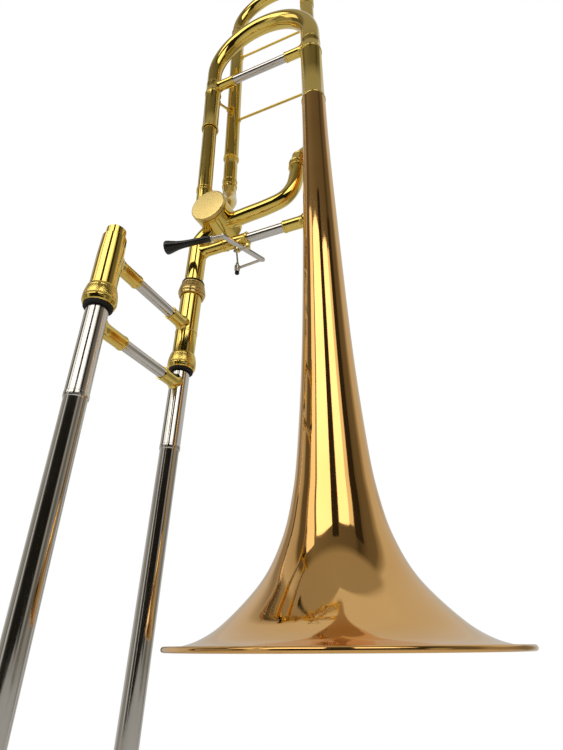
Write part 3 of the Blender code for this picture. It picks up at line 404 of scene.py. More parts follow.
# ---------------------------------------------------------------- bell

BELL_STATIONS = (       # height above the rim and outer radius, in millimetres
    (1.2, 104.6), (6.0, 87.3), (16.5, 71.2), (39.4, 49.7), (64.0, 37.2), (90.5, 30.2),
    (128.0, 25.3), (219.0, 19.7), (373.5, 15.0), (458.0, 13.1), (519.5, 12.7),
)
BELL_WALL = 0.5 * MM
BEAD_RADIUS = 1.6 * MM


def build_bell():
    """Sheet metal flare and stem in one piece, with the edge rolled into a bead."""
    half = BELL_WALL / 2
    guides = [Vector((radius - 0.25, height, 0)) * MM for height, radius in BELL_STATIONS]
    points = smooth_path(guides, 12)
    normals = [Vector((t.y, -t.x, 0)) for t in directions(points)]
    outside = [p + n * half for p, n in zip(points, normals)]
    inside = [p - n * half for p, n in zip(points, normals)]
    bell_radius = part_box("bell_flare")[1].x
    bead = Vector((bell_radius - BEAD_RADIUS, BEAD_RADIUS, 0))
    turns = [math.radians(angle) for angle in range(-90, 206, 14)]
    curl_in = [bead + Vector((math.cos(t), math.sin(t), 0)) * (BEAD_RADIUS - BELL_WALL) for t in turns]
    curl_out = [bead + Vector((math.cos(t), math.sin(t), 0)) * BEAD_RADIUS for t in turns]
    outline = outside[::-1] + curl_in + curl_out[::-1] + inside
    lathe("bell_sheet", [(p.x, p.y) for p in outline], Matrix(), GOLD, "bell_section",
          ("bell_flare", "bell_stem"), sides=192, edge=0)


# ---------------------------------------------------------------- neck, sleeves, main tuning slide

SLEEVE_BELL_R = (12.0, 11.2)        # outer and inner radii, in millimetres
SLEEVE_NECK_R = (9.3, 8.7)


def open_end(outer, inner, top):
    """The end of a tube, stiffened by a narrow rounded ring. The radii are in millimetres."""
    return outline_mm(top, (outer, -2.7), (outer + 0.5, -2.4), (outer + 0.65, -2.0), (outer + 0.65, -0.6),
                      (outer + 0.4, -0.1), (outer + 0.1, 0), (inner, 0))


def build_sleeves():
    low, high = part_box("bell_side_sleeve")
    outer, inner = SLEEVE_BELL_R
    spigot, spigot_length = 11.8, 6.0
    profile = outline_mm(low.z + spigot_length * MM, (spigot, -spigot_length), (spigot, 0), (12.8, 0),
                         (13.1, 0.4), (13.2, 1.0), (13.1, 1.7), (12.7, 2.2), (outer, 2.6))
    profile += open_end(outer, inner, high.z) + [(inner * MM, low.z)]
    lathe("bell_sleeve", profile, Matrix(), YELLOW, "bell_section", ("bell_side_sleeve",), 80)
    low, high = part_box("neck_side_sleeve")
    outer, inner = SLEEVE_NECK_R
    profile = outline_mm(low.z, (outer + 0.2, 0), (outer + 0.6, 0.4), (outer + 0.6, 1.8), (outer, 2.3))
    profile += open_end(outer, inner, high.z) + [(inner * MM, low.z)]
    lathe("neck_sleeve", profile, moved(NECK), YELLOW, "bell_section", ("neck_side_sleeve",), 72)


def build_neck_tube():
    """Rises from the valve's upper left knuckle; the casing covers its lower end."""
    outer, inner = 8.0 * MM, 7.2 * MM
    guides = points_mm((-121.5, 0, 398), (-124.8, 0, 402.5), (-127.8, 0, 411))
    guides += [NECK + UP * 0.424, NECK + UP * 0.438]
    stations = [(point, outer, inner) for point in smooth_path(guides, 8)]
    stations += straight(NECK + UP * 0.4385, NECK + UP * 0.5415, outer, inner, 3)
    start = sum((b[0] - a[0]).length for a, b in zip(stations, stations[1:])
                if b[0].z <= 0.4386)
    stations = ringed(stations, [start + 0.0012, start + 0.0044], 0.75 * MM, 0.9 * MM)
    sweep("neck_pipe_upper", stations, YELLOW, "bell_section", ("neck_tube",))


def bow(left, right, bow_z, start, ferrule_left, ferrule_right, r_left, r_right, rim, steps):
    """Stations of a U-bow that rises at left and comes down at right; each leg starts with a
    wider ferrule, given as (top height, outer, inner), whose ends stand out by rim."""
    centre = (left + right) / 2
    arm = (left - right) / 2

    def leg(foot, ferrule, radii):
        top, outer, inner = ferrule
        bead = outer + rim
        rings = [(start, 0, outer), (start, 0.3, bead), (start, 2.0, bead), (start, 2.5, outer),
                 (top, -3.0, outer), (top, -2.5, bead), (top, -0.6, bead), (top, 0, outer)]
        marks = [(base + rise * MM, radius, inner) for base, rise, radius in rings]
        marks += [(top + 0.3 * MM, radii[0] + 0.3 * MM, radii[1]), (top + 0.6 * MM, *radii)]
        return [(foot + UP * z, outside, inside) for z, outside, inside in marks]

    arch = []
    for i in range(steps + 1):
        angle = math.pi * i / steps
        share = i / steps
        radii = [a + (b - a) * share for a, b in zip(r_left, r_right)]
        point = centre + arm * math.cos(angle) + UP * (bow_z + arm.length * math.sin(angle))
        arch.append((point, *radii))
    rise = leg(left, ferrule_left, r_left)
    fall = leg(right, ferrule_right, r_right)
    return rise + arch + fall[::-1]


def build_leg(name, node, foot, outer, inner, body, sides):
    """A plain inner tube of a tuning slide, as long as its CAD node."""
    low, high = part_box(node)
    profile = [(outer, low.z), (outer, high.z), (inner, high.z), (inner, low.z)]
    lathe(name, profile, moved(foot), NICKEL, body, (node,), sides)


def build_tuning_slide():
    bell = Vector((0, 0, 0))
    low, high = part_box("tuning_crook")
    bow_z = high.z - 64.5 * MM - 9.9 * MM
    ferrule_top = 627 * MM
    neck_ferrule = (8.95 * MM, 8.7 * MM)
    bell_ferrule = (11.4 * MM, 11.2 * MM)
    stations = bow(NECK, bell, bow_z, low.z, (ferrule_top, *neck_ferrule), (ferrule_top, *bell_ferrule),
                   (8.6 * MM, 7.9 * MM), (11.2 * MM, 10.5 * MM), 0.12 * MM, 56)
    sweep("main_crook", stations, YELLOW, "main_tuning_slide", ("tuning_crook",), 64)
    build_leg("main_neck_leg", "tuning_neck_leg", NECK, 8.4 * MM, 7.7 * MM, "main_tuning_slide", 64)
    build_leg("main_bell_leg", "tuning_bell_leg", bell, 10.9 * MM, 10.2 * MM, "main_tuning_slide", 64)


# ---------------------------------------------------------------- braces and stays

def build_socket(name, foot, inward, tube_radius, tube_axis, length, body, node):
    """A brace socket whose flared saddle follows the tube it is soldered to."""
    radius, bore = 5.8 * MM, 5.0 * MM
    side, across = cross_axes(inward)
    marks = (       # distance out from the tube's surface, radius, how far it follows the tube
        (-0.25, 7.2, 1), (0.35, 7.3, 1), (0.7, 7.05, 1), (1.5, 6.35, 0.85), (2.6, 5.95, 0.6), (4.5, 5.8, 0.25),
        (7.0, 5.8, 0))
    rings = [(tube_radius + out * MM, r * MM, follow) for out, r, follow in marks]
    rings += [(length - 2.6 * MM, radius, 0), (length - 2.3 * MM, radius + 0.25 * MM, 0),
              (length - 0.8 * MM, radius + 0.3 * MM, 0), (length - 0.3 * MM, radius + 0.15 * MM, 0),
              (length, radius - 0.1 * MM, 0), (length, bore, 0), (tube_radius + 4 * MM, bore, 0.2),
              (tube_radius + 0.1 * MM, bore, 1)]
    bm = bmesh.new()
    sides = 48
    rows = []
    for reach, r, follow in rings:
        row = []
        for i in range(sides):
            turn = 2 * math.pi * i / sides
            spread = (side * math.cos(turn) + across * math.sin(turn)) * r
            off = spread - tube_axis * spread.dot(tube_axis)
            sink = tube_radius - math.sqrt(max(tube_radius ** 2 - off.length_squared, 0))
            row.append(bm.verts.new(foot + inward * (reach - sink * follow) + spread))
        rows.append(row)
    for first, second in zip(rows, rows[1:] + rows[:1]):
        skin(bm, first, second)
    return finish_piece(name, bm, YELLOW, body, (node,))


def build_brace(prefix, start, end, tube_radii, lengths, body, tube_axes, node):
    axis = (end - start).normalized()
    first = start + axis * (tube_radii[0] + 1.5 * MM)
    last = end - axis * (tube_radii[1] + 1.5 * MM)
    stations = straight(first, last, 4.8 * MM, 4.0 * MM, 2)
    sweep(f"{prefix}_brace_rod", stations, NICKEL, body, (f"{node}_brace",), 40)
    build_socket(f"{prefix}_socket_a", start, axis, tube_radii[0], tube_axes[0], lengths[0], body,
                 f"{node}_brace_socket_a")
    build_socket(f"{prefix}_socket_b", end, -axis, tube_radii[1], tube_axes[1], lengths[1], body,
                 f"{node}_brace_socket_b")


def build_braces():
    height = middle("upper_brace").z
    build_brace("upper", NECK + UP * height, UP * height, (9.2 * MM, 11.6 * MM), (29 * MM, 32 * MM),
                "main_tuning_slide", (UP, UP), "upper")
    height = middle("lower_brace").z
    slide_up = SLIDE.to_3x3() @ UP
    pivot = SLIDE.translation
    foot = pivot + slide_up * ((height - pivot.z) / slide_up.z)
    build_brace("lower", foot, UP * height, (9.1 * MM, 15.6 * MM), (31 * MM, 36 * MM), "bell_section",
                (slide_up, UP), "lower")
    for prefix, body, radius, lengths in (("inner", "slide_section", 9.9 * MM, (33 * MM, 27 * MM)),
                                          ("outer", "hand_slide", 8.2 * MM, (31 * MM, 25 * MM))):
        s = (TO_SLIDE @ middle(f"{prefix}_brace")).z
        build_brace(prefix, along_slide(0, -SPACING, s), along_slide(0, 0, s), (radius, radius), lengths, body,
                    (slide_up, slide_up), prefix)


def build_stay(name, start, end, tube_radii, node):
    """A thin rod between two tubes, with a small domed flange soldered on at each end."""
    axis = (end - start).normalized()
    marks = ((-0.4, 3.4), (0.2, 3.4), (0.6, 3.2), (0.9, 2.5), (1.3, 1.9), (2.4, 1.6), (3.4, 1.5))
    first = [(start + axis * (tube_radii[0] + out * MM), r * MM, 0) for out, r in marks]
    last = [(end - axis * (tube_radii[1] + out * MM), r * MM, 0) for out, r in marks]
    sweep(name, first + last[::-1], YELLOW, "bell_section", (node,), 24)


def build_stays():
    for node in ("f_lower_stay", "f_upper_stay"):
        height = UP * middle(node).z
        build_stay(f"{node}_rod", F_LEFT + height, F_RIGHT + height, (8.4 * MM, 8.4 * MM), node)
    height = UP * middle("neck_stay").z
    build_stay("neck_stay_rod", NECK + height, F_LEFT + height, (9.3 * MM, 8.4 * MM), "neck_stay")


# ---------------------------------------------------------------- F attachment

def build_f_attachment():
    outer, inner = 7.7 * MM, 7.0 * MM
    sleeve = (8.4 * MM, 7.9 * MM)
    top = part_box("f_left_sleeve")[1].z

    def sleeve_stations(foot, start):
        """The wider outer tube with a collar at each end."""
        collar = 9.2 * MM
        bore = sleeve[1]
        marks = ((start, 0, outer, inner), (start, 0.4, collar, inner), (start, 2.2, collar, inner),
                 (start, 2.8, *sleeve), (top, -2.4, *sleeve), (top, -2.0, collar, bore),
                 (top, -0.3, collar, bore), (top, 0, 8.8 * MM, bore))
        return [(foot + UP * (base + rise * MM), a, b) for base, rise, a, b in marks]

    guides = points_mm((-102.5, -3, 398.5), (-100.8, 0.9, 409.5), (-102.5, 8.5, 422), (-107, 17.5, 435),
                       (-112, 24.8, 449))
    guides.append(F_LEFT + UP * 0.464)
    stations = [(point, outer, inner) for point in smooth_path(guides, 9)]
    knuckle = sum((b[0] - a[0]).length for a, b in zip(stations, stations[1:]))
    stations += straight(F_LEFT + UP * 0.466, F_LEFT + UP * 0.5135, outer + 0.1 * MM, inner, 3)
    stations = ringed(stations, [knuckle + 0.0040, knuckle + 0.0120], 0.9 * MM, 1.1 * MM)
    stations += sleeve_stations(F_LEFT, 0.5137)
    sweep("f_left_pipe", stations, YELLOW, "bell_section", ("f_left_sleeve",), 48)

    guides = points_mm((-101, 0, 385.5), (-90.5, 0.2, 385.2), (-76, 1, 387.2), (-56, 3, 391),
                       (-38.5, 6, 398.5), (-29.5, 9, 412.5), (-26.2, 11.2, 430), (-25.6, 12.3, 441))
    stations = [(point, outer, inner) for point in smooth_path(guides, 10)]
    sweep("f_bend_pipe", stations, YELLOW, "bell_section", ("f_lower_bend",), 48)

    guides = points_mm((-25.6, 12.4, 441.4), (-25.4, 13.2, 449), (-22.8, 16, 460.5), (-15.5, 22, 475),
                       (-11.2, 26, 492))
    guides.append(F_RIGHT + UP * 0.512)
    ferrule_points = 21     # the first stretch is the ferrule that joins the bend
    stations = []
    for i, point in enumerate(smooth_path(guides, 10)):
        stations.append((point, outer + 0.45 * MM if i < ferrule_points else outer, inner))
    stations += straight(F_RIGHT + UP * 0.513, F_RIGHT + UP * 0.5465, outer, inner, 2)
    stations = ringed(stations, [0.0014, 0.0072, 0.0182], 0.9 * MM, 1.1 * MM)
    stations += sleeve_stations(F_RIGHT, 0.547)
    sweep("f_right_pipe", stations, YELLOW, "bell_section", ("f_right_sleeve",), 48)

    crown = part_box("f_crook")[1].z
    bow_z = crown - (F_RIGHT.x - F_LEFT.x) / 2 - 8.0 * MM
    ferrule = (775 * MM, 8.9 * MM, 7.9 * MM)
    start = top + 0.3 * MM
    radii = (8.0 * MM, 7.3 * MM)
    stations = bow(F_LEFT, F_RIGHT, bow_z, start, ferrule, ferrule, radii, radii, 0.4 * MM, 48)
    sweep("f_bow", stations, YELLOW, "f_tuning_slide", ("f_crook",), 48)
    for node, foot in (("f_left_leg", F_LEFT), ("f_right_leg", F_RIGHT)):
        build_leg(f"{node}_tube", node, foot, 7.6 * MM, 6.9 * MM, "f_tuning_slide", 56)


# ---------------------------------------------------------------- valve

TO_FRONT = Matrix.Translation(VALVE) @ Matrix.Rotation(math.radians(90), 4, "X")    # local Z runs to -Y


def build_valve():
    low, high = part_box("valve_casing")
    back, front = VALVE.y - high.y, VALVE.y - low.y
    outer, inner = 18.2 * MM, 16.0 * MM
    rim = outer + 0.5 * MM
    profile = [(rim, back), (rim, back + 2.2 * MM), (outer, back + 2.8 * MM), (outer, front - 2.8 * MM),
               (rim, front - 2.2 * MM), (rim, front), (inner, front), (inner, back)]
    lathe("valve_body", profile, TO_FRONT, YELLOW, "bell_section", ("valve_casing",), 96)

    plate_back = VALVE.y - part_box("valve_back_plate")[1].y
    hole = 3.3 * MM
    profile = outline_mm(plate_back, (3.3, 0), (6.2, 0), (6.2, 0.5), (15.5, 0.5), (17.6, 1.0), (18.2, 1.6))
    profile += [(outer, back - 0.3 * MM), (hole, back - 0.3 * MM)]
    lathe("valve_rear_plate", profile, TO_FRONT, SATIN, "bell_section", ("valve_back_plate",), 96)

    face = VALVE.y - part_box("valve_cap")[0].y
    grips = 72

    def coin_edge(radius, turn, height):
        on_edge = radius > outer and front + 1.0 * MM < height < face - 0.9 * MM
        return radius - 0.22 * MM * (0.5 + 0.5 * math.cos(grips * turn)) if on_edge else radius

    profile = outline_mm(front, (0, 2), (15, 2), (15, 0.3), (18.2, 0.3), (18.55, 0.7), (18.55, 1.1))
    profile += outline_mm(face, (18.55, -1.2), (18.55, -0.8), (18.05, -0.25), (17.55, -0.05), (16.55, 0),
                          (0, 0))
    lathe("valve_front_cap", profile, TO_FRONT, SATIN, "bell_section", ("valve_cap",), 288, False, 0.08 * MM,
          coin_edge)


def rod_piece(bm, start, end, radius, sides=24, chamfer=0.25 * MM):
    """A closed round rod with chamfered ends, added to bm."""
    axis = (end - start).normalized()
    side, other = cross_axes(axis)
    rows = [ring(bm, start, side, other, radius - chamfer, sides),
            ring(bm, start + axis * chamfer, side, other, radius, sides),
            ring(bm, end - axis * chamfer, side, other, radius, sides),
            ring(bm, end, side, other, radius - chamfer, sides)]
    for first, second in zip(rows, rows[1:]):
        skin(bm, first, second)
    bm.faces.new(rows[0])
    bm.faces.new(rows[-1])


def plate_piece(bm, outline, rise, chamfer=0.25 * MM):
    """A flat plate with chamfered edges: outline runs round its lower face, rise is the
    vector to its upper face."""
    centre = sum(outline, Vector()) / len(outline)
    thick = rise.normalized()
    inset = [point + (centre - point).normalized() * chamfer for point in outline]
    lip = thick * chamfer
    rows = [[bm.verts.new(p) for p in inset], [bm.verts.new(p + lip) for p in outline],
            [bm.verts.new(p + rise - lip) for p in outline], [bm.verts.new(p + rise) for p in inset]]
    for first, second in zip(rows, rows[1:]):
        skin(bm, first, second)
    bm.faces.new(rows[0])
    bm.faces.new(rows[-1])


def build_stop_work():
    """The stop arm with its clamp screw, and the two cork bumpers on their posts."""
    low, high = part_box("stop_arm")
    rest = math.radians(-45)
    along = Vector((math.cos(rest), 0, math.sin(rest)))
    across = Vector((-along.z, 0, along.x))
    pin = along * 10.0 * MM
    outline = []
    for i in range(13):
        turn = math.radians(-90 + 15 * i)
        outline.append(VALVE + pin + (along * math.cos(turn) + across * math.sin(turn)) * 2.0 * MM)
    for i in range(29):
        turn = math.radians(40 + 280 / 28 * i)
        outline.append(VALVE + (along * math.cos(turn) + across * math.sin(turn)) * 4.6 * MM)
    outline = [Vector((p.x, low.y, p.z)) for p in outline]
    bm = bmesh.new()
    plate_piece(bm, outline, Vector((0, high.y - low.y, 0)))
    for place, before, behind, radius in ((VALVE + pin, 0.9, 0.2, 1.3), (VALVE, 0.6, 0.6, 2.2)):
        rod_piece(bm, place + Vector((0, low.y - before * MM, 0)), place + Vector((0, high.y + behind * MM, 0)),
                  radius * MM)
    finish_piece("stop_arm_plate", bm, STEEL, "rotor", ("stop_arm",))
    for node in ("stop_bumper_rest", "stop_bumper_play"):
        low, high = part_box(node)
        spot = (low + high) / 2
        bm = bmesh.new()
        rod_piece(bm, Vector((spot.x, low.y, spot.z)), Vector((spot.x, high.y, spot.z)), 1.75 * MM,
                  chamfer=0.4 * MM)
        finish_piece(f"{node}_cork", bm, CORK, "bell_section", (node,))


# ---------------------------------------------------------------- thumb lever and link

def build_lever():
    """Saddle, axle and spring on the brace; the chromed lever, its grip and the link."""
    low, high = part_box("lever_saddle")
    brace_z = middle("lower_brace").z
    pivot = SLIDE.translation
    slide_up = SLIDE.to_3x3() @ UP
    foot = pivot + slide_up * ((brace_z - pivot.z) / slide_up.z)
    axis = (UP * brace_z - foot).normalized()
    start = foot + axis * ((low.x - foot.x) / axis.x)
    end = foot + axis * ((high.x - foot.x) / axis.x)
    length = (end - start).length
    profile = outline_mm(0, (6.3, 0), (6.6, 0.5), (6.6, 1.6), (6.0, 2.2))
    profile += outline_mm(length, (6.0, -2.2), (6.6, -1.6), (6.6, -0.5), (6.3, 0), (4.9, 0)) + [(4.9 * MM, 0)]
    lathe("lever_saddle_sleeve", profile, looking(start, axis), YELLOW, "bell_section", ("lever_saddle",), 56)
    for mark, offset in (("left", -5.4 * MM), ("right", 5.4 * MM)):
        outline = []
        for angle in (-100, -85, -70, -55, -40):
            turn = math.radians(angle)
            outline.append((start.y + 5.6 * MM * math.cos(turn), brace_z + 5.6 * MM * math.sin(turn)))
        for i in range(11):
            turn = math.radians(10 - 20 * i)
            outline.append((LEVER.y + 2.9 * MM * math.cos(turn), LEVER.z + 2.9 * MM * math.sin(turn)))
        bm = bmesh.new()
        plate_piece(bm, [Vector((LEVER.x + offset - 1.0 * MM, y, z)) for y, z in outline],
                    Vector((2.0 * MM, 0, 0)), 0.2 * MM)
        finish_piece(f"lever_ear_{mark}", bm, YELLOW, "bell_section")
    low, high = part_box("lever_axle")
    bm = bmesh.new()
    rod_piece(bm, Vector((low.x, LEVER.y, LEVER.z)), Vector((high.x, LEVER.y, LEVER.z)), 1.0 * MM)
    finish_piece("lever_hinge_pin", bm, STEEL, "bell_section", ("lever_axle",))
    turns, steps = 3, 32
    stations = []
    for i in range(turns * steps + 1):
        turn = 2 * math.pi * i / steps
        x = -7.2 * MM - 0.95 * MM * i / steps
        coil = Vector((0, math.cos(turn), math.sin(turn))) * (1.6 * MM)
        stations.append((LEVER + Vector((x, 0, 0)) + coil, 0.3 * MM, 0))
    sweep("lever_coil_spring", stations, STEEL, "bell_section", ("lever_spring",), 12)

    front = Vector((-9.9, -22.6, 0)) * MM
    back = -front
    along = (back - front).normalized()
    across = along.cross(UP)
    half_width = 2.5 * MM
    outline = []
    for centre, first in ((back, -90), (front, 90)):
        for i in range(13):
            turn = math.radians(first + 15 * i)
            offset = along * math.cos(turn) - across * math.sin(turn)
            outline.append(LEVER + centre + offset * half_width - UP * 1.1 * MM)
    bm = bmesh.new()
    plate_piece(bm, outline, UP * 2.2 * MM, 0.3 * MM)
    rod_piece(bm, LEVER - Vector((4.1 * MM, 0, 0)), LEVER + Vector((4.1 * MM, 0, 0)), 2.1 * MM)
    tip = Vector((-68.4, -30, 0)) * MM
    grip_axis = (tip - front).normalized()
    grip_start = front + grip_axis * (12.6 * MM)
    rod_piece(bm, LEVER + front, LEVER + grip_start + grip_axis * (20 * MM), 1.7 * MM)
    rod_piece(bm, LEVER + back + Vector((0.3, -0.3, 0)) * MM, BALL + Vector((2.6 * MM, 0, 0)), 1.4 * MM)
    collar = LEVER + grip_start
    rod_piece(bm, collar - grip_axis * (1.8 * MM), collar - grip_axis * (0.1 * MM), 2.5 * MM)
    finish_piece("lever_arm", bm, NICKEL, "lever", ("thumb_lever",))

    length = (tip - grip_start).length
    shares = ((0, 2.5), (0.03, 2.9), (0.12, 3.15), (0.3, 3.2), (0.48, 3.35), (0.62, 3.7), (0.74, 4.4),
              (0.85, 5.6), (0.93, 6.5), (0.97, 6.75), (0.99, 6.6), (1, 6.2))
    profile = [(0, 0.2 * MM), (1.8 * MM, 0), *((r * MM, length * share) for share, r in shares),
               *outline_mm(length, (5.2, -0.5), (2.5, -0.9), (0, -1.0))]
    lathe("thumb_grip_handle", profile, looking(collar, grip_axis), BLACK, "lever", ("thumb_grip",), 64,
          False, 0)

    pin = VALVE + Vector((1, 0, -1)) * (10.0 * MM / math.sqrt(2))
    eye = Vector((pin.x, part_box("stop_arm")[1].y + 1.9 * MM, pin.z))
    rise = (eye - BALL).normalized()
    marks = ((-7.2, 1.9), (-6.9, 2.1), (-2.9, 2.1), (-2.6, 2.4), (-2.4, 2.9), (2.6, 2.9), (2.9, 2.5),
             (3.2, 2.0), (6.8, 1.5), (7.2, 1.0), (9.0, 0.9))
    stations = [(BALL + UP * (height * MM), radius * MM, 0) for height, radius in marks]
    stations.append((eye - rise * (2.4 * MM), 0.9 * MM, 0))
    sweep("link_wire", stations, STEEL, "link", ("link_rod",), 32)
    bm = bmesh.new()
    rod_piece(bm, eye - Vector((0, 1.1 * MM, 0)), eye + Vector((0, 1.1 * MM, 0)), 3.3 * MM, 40)
    rod_piece(bm, eye + Vector((0, 0.6 * MM, 0)), eye + Vector((0, 1.6 * MM, 0)), 1.6 * MM, 24)
    finish_piece("link_top_eye", bm, STEEL, "link")
    bm = bmesh.new()
    rod_piece(bm, BALL - UP * (7.45 * MM), BALL - UP * (4.2 * MM), 2.25 * MM, 32, 0.5 * MM)
    finish_piece("link_ball_tip", bm, RUBBER, "link")


# ---------------------------------------------------------------- slide section

def knurl(count, pitch, depth, low, high, radius_above):
    """Diamond knurling between two heights, on the faces further out than radius_above."""
    def surface(radius, turn, height):
        if radius < radius_above or not low < height < high:
            return radius
        twist = height / pitch * math.pi
        ridges = abs(math.sin(count / 2 * turn + twist)) * abs(math.sin(count / 2 * turn - twist))
        return radius - depth * (1 - ridges)
    return surface


def dense(profile, index, steps):
    """The profile with its stretch after index divided into steps, so that it can carry knurling."""
    (r0, z0), (r1, z1) = profile[index], profile[index + 1]
    middle_points = [(r0 + (r1 - r0) * i / steps, z0 + (z1 - z0) * i / steps) for i in range(1, steps)]
    return profile[:index + 1] + middle_points + profile[index + 1:]


def build_neckpipe():
    outer = 9.1 * MM
    inner = 8.3 * MM
    port = math.radians(235)
    direction = Vector((math.cos(port), 0, math.sin(port)))
    guides = [TO_SLIDE @ (VALVE + direction * 13.5 * MM), TO_SLIDE @ (VALVE + direction * 19.5 * MM),
              *points_mm((3.3, 0, -15.9), (0.3, 0, -22.5), (0, 0, -30))]
    path = smooth_path(guides, 8)
    stations = []
    for i, point in enumerate(path):
        share = min(i / (len(path) - 10), 1)
        stations.append((SLIDE @ point, (8.0 + 1.1 * share) * MM, (7.2 + 1.1 * share) * MM))
    stations += straight(along_slide(0, 0, -31 * MM), along_slide(0, 0, -82 * MM), outer, inner, 2)
    sweep("neckpipe_tube", stations, YELLOW, "bell_section", ("neckpipe",), 56)


NUT_TOP = -71 * MM
NUT_BOTTOM = -86 * MM


def build_lock_nut():
    """A knurled nut that widens downwards to a beaded edge, with a washer on top."""
    profile = outline_mm(NUT_TOP, (10.3, 0), (10.7, 0), (11.1, -0.6), (12.7, -8.0), (12.75, -8.6), (12.3, -9.2),
                         (12.9, -9.8), (13.0, -10.4), (12.9, -11.4), (12.2, -12.0), (12.0, -12.6))
    profile += outline_mm(NUT_BOTTOM, (11.9, 0.5), (11.5, 0), (10.3, 0))
    profile = dense(profile, 2, 26)
    lathe("lock_nut_knurled", profile, SLIDE, BRONZE, "lock_nut", ("bell_lock_nut",), 240, True, 0,
          knurl(64, 1.7 * MM, 0.24 * MM, NUT_TOP - 7.7 * MM, NUT_TOP - 0.9 * MM, 10.9 * MM))
    washer = outline_mm(NUT_TOP, (9.25, 0.3), (10.9, 0.3), (10.9, 1.8), (9.25, 1.8))
    lathe("lock_nut_rubber", washer, SLIDE, RUBBER, "lock_nut", ("lock_nut_washer",), 72, True, 0.35 * MM)


RING_TOP = -150 * MM
BARREL_BOTTOM = -165.2 * MM
BUMPER_BOTTOM = -167.7 * MM


def knurled_bulge():
    """The knurled ring's outline from its top to its bottom, on which knurling is cut."""
    bulge = outline_mm(RING_TOP, (10.7, 0), (11.0, -0.4))
    steps = 22
    for i in range(steps + 1):
        share = i / steps
        bulge.append((11.1 * MM + 1.4 * MM * math.sin(math.pi * 0.55 * share),
                      RING_TOP - 0.8 * MM - 9.2 * MM * share))
    bulge += outline_mm(RING_TOP, (12.1, -10.5), (12.45, -11.1), (12.5, -12.0), (12.2, -12.9), (11.9, -13.3))
    return bulge + outline_mm(BARREL_BOTTOM, (11.8, 1.2), (11.3, 0.3), (10.9, 0))


def barrel_knurl():
    return knurl(64, 1.6 * MM, 0.28 * MM, RING_TOP - 9.8 * MM, RING_TOP - 2.4 * MM, 11.0 * MM)


INNER_TUBE_TOP = -104 * MM
INNER_TUBE_BOTTOM = -748 * MM
BARREL_TOP = -92.5 * MM
BARREL_STEP = -100.5 * MM


def build_inner_slide():
    """Barrels, lock ring, bumpers and the two inner tubes."""
    outer, inner, neck = 9.9, 8.9, 7.2
    shoulder = INNER_TUBE_TOP - 22 * MM
    hollow = [(inner * MM, BARREL_BOTTOM), (inner * MM, shoulder), (neck * MM, shoulder),
              (neck * MM, INNER_TUBE_TOP + 2 * MM)]
    profile = outline_mm(BARREL_TOP, (7.3, 0), (7.6, -0.4))
    profile += outline_mm(BARREL_STEP, (7.6, 0.1), (8.9, 0), (9.25, -0.5), (9.4, -4), (outer, -19.5))
    bead = outer + 0.35
    profile += outline_mm(RING_TOP, (outer, 2.4), (bead, 2.0), (bead, 0.9), (outer, 0.5), (outer, 0))
    profile += knurled_bulge() + hollow
    profile += [(6.3 * MM, INNER_TUBE_TOP + 2 * MM)] + outline_mm(BARREL_TOP, (6.6, -0.6), (7.0, 0))
    lathe("mouthpiece_receiver_barrel", profile, LEFT, YELLOW, "slide_section", ("mouthpiece_barrel",), 224,
          True, 0, barrel_knurl())
    band = -126 * MM
    profile = outline_mm(NUT_TOP, (8.0, 0)) + outline_mm(NUT_BOTTOM, (8.0, 2), (outer - 0.2, 2), (outer, 1.5))
    profile += outline_mm(band, (outer, 0.4), (outer + 0.3, 0), (outer + 0.3, -1.2), (outer, -1.6))
    profile += [(outer * MM, BARREL_BOTTOM), *hollow, (6.4 * MM, INNER_TUBE_TOP + 2 * MM), (6.4 * MM, NUT_TOP)]
    lathe("right_barrel", profile, SLIDE, YELLOW, "slide_section", ("right_cork_barrel",), 96)
    bore = (outer + 0.3) * MM
    lathe("lock_ring_knurled", [(bore, RING_TOP), *knurled_bulge(), (bore, BARREL_BOTTOM)], SLIDE, YELLOW,
          "lock_ring", ("slide_lock_ring",), 224, True, 0, barrel_knurl())
    for node, place in (("left_slide_bumper", LEFT), ("right_slide_bumper", SLIDE)):
        high = BARREL_BOTTOM - 0.05 * MM
        profile = outline_mm(BUMPER_BOTTOM, (8.1, 0), (10.1, 0), (10.6, 0.5), (10.7, 1.4))
        profile += [(10.6 * MM, high), (8.1 * MM, high)]
        lathe(f"{node}_ring", profile, place, RUBBER, "slide_section", (node,), 72, True, 0.3 * MM)
    stocking_top = -628 * MM
    for node, place in (("left_inner_tube", LEFT), ("right_inner_tube", SLIDE)):
        profile = [(6.9 * MM, INNER_TUBE_TOP), *outline_mm(stocking_top, (6.9, 2), (7.1, -2)),
                   *outline_mm(INNER_TUBE_BOTTOM, (7.1, 1), (6.8, 0), (6.4, 0)), (6.4 * MM, INNER_TUBE_TOP)]
        lathe(f"{node}_fine", profile, place, NICKEL, "slide_section", (node,), 64)


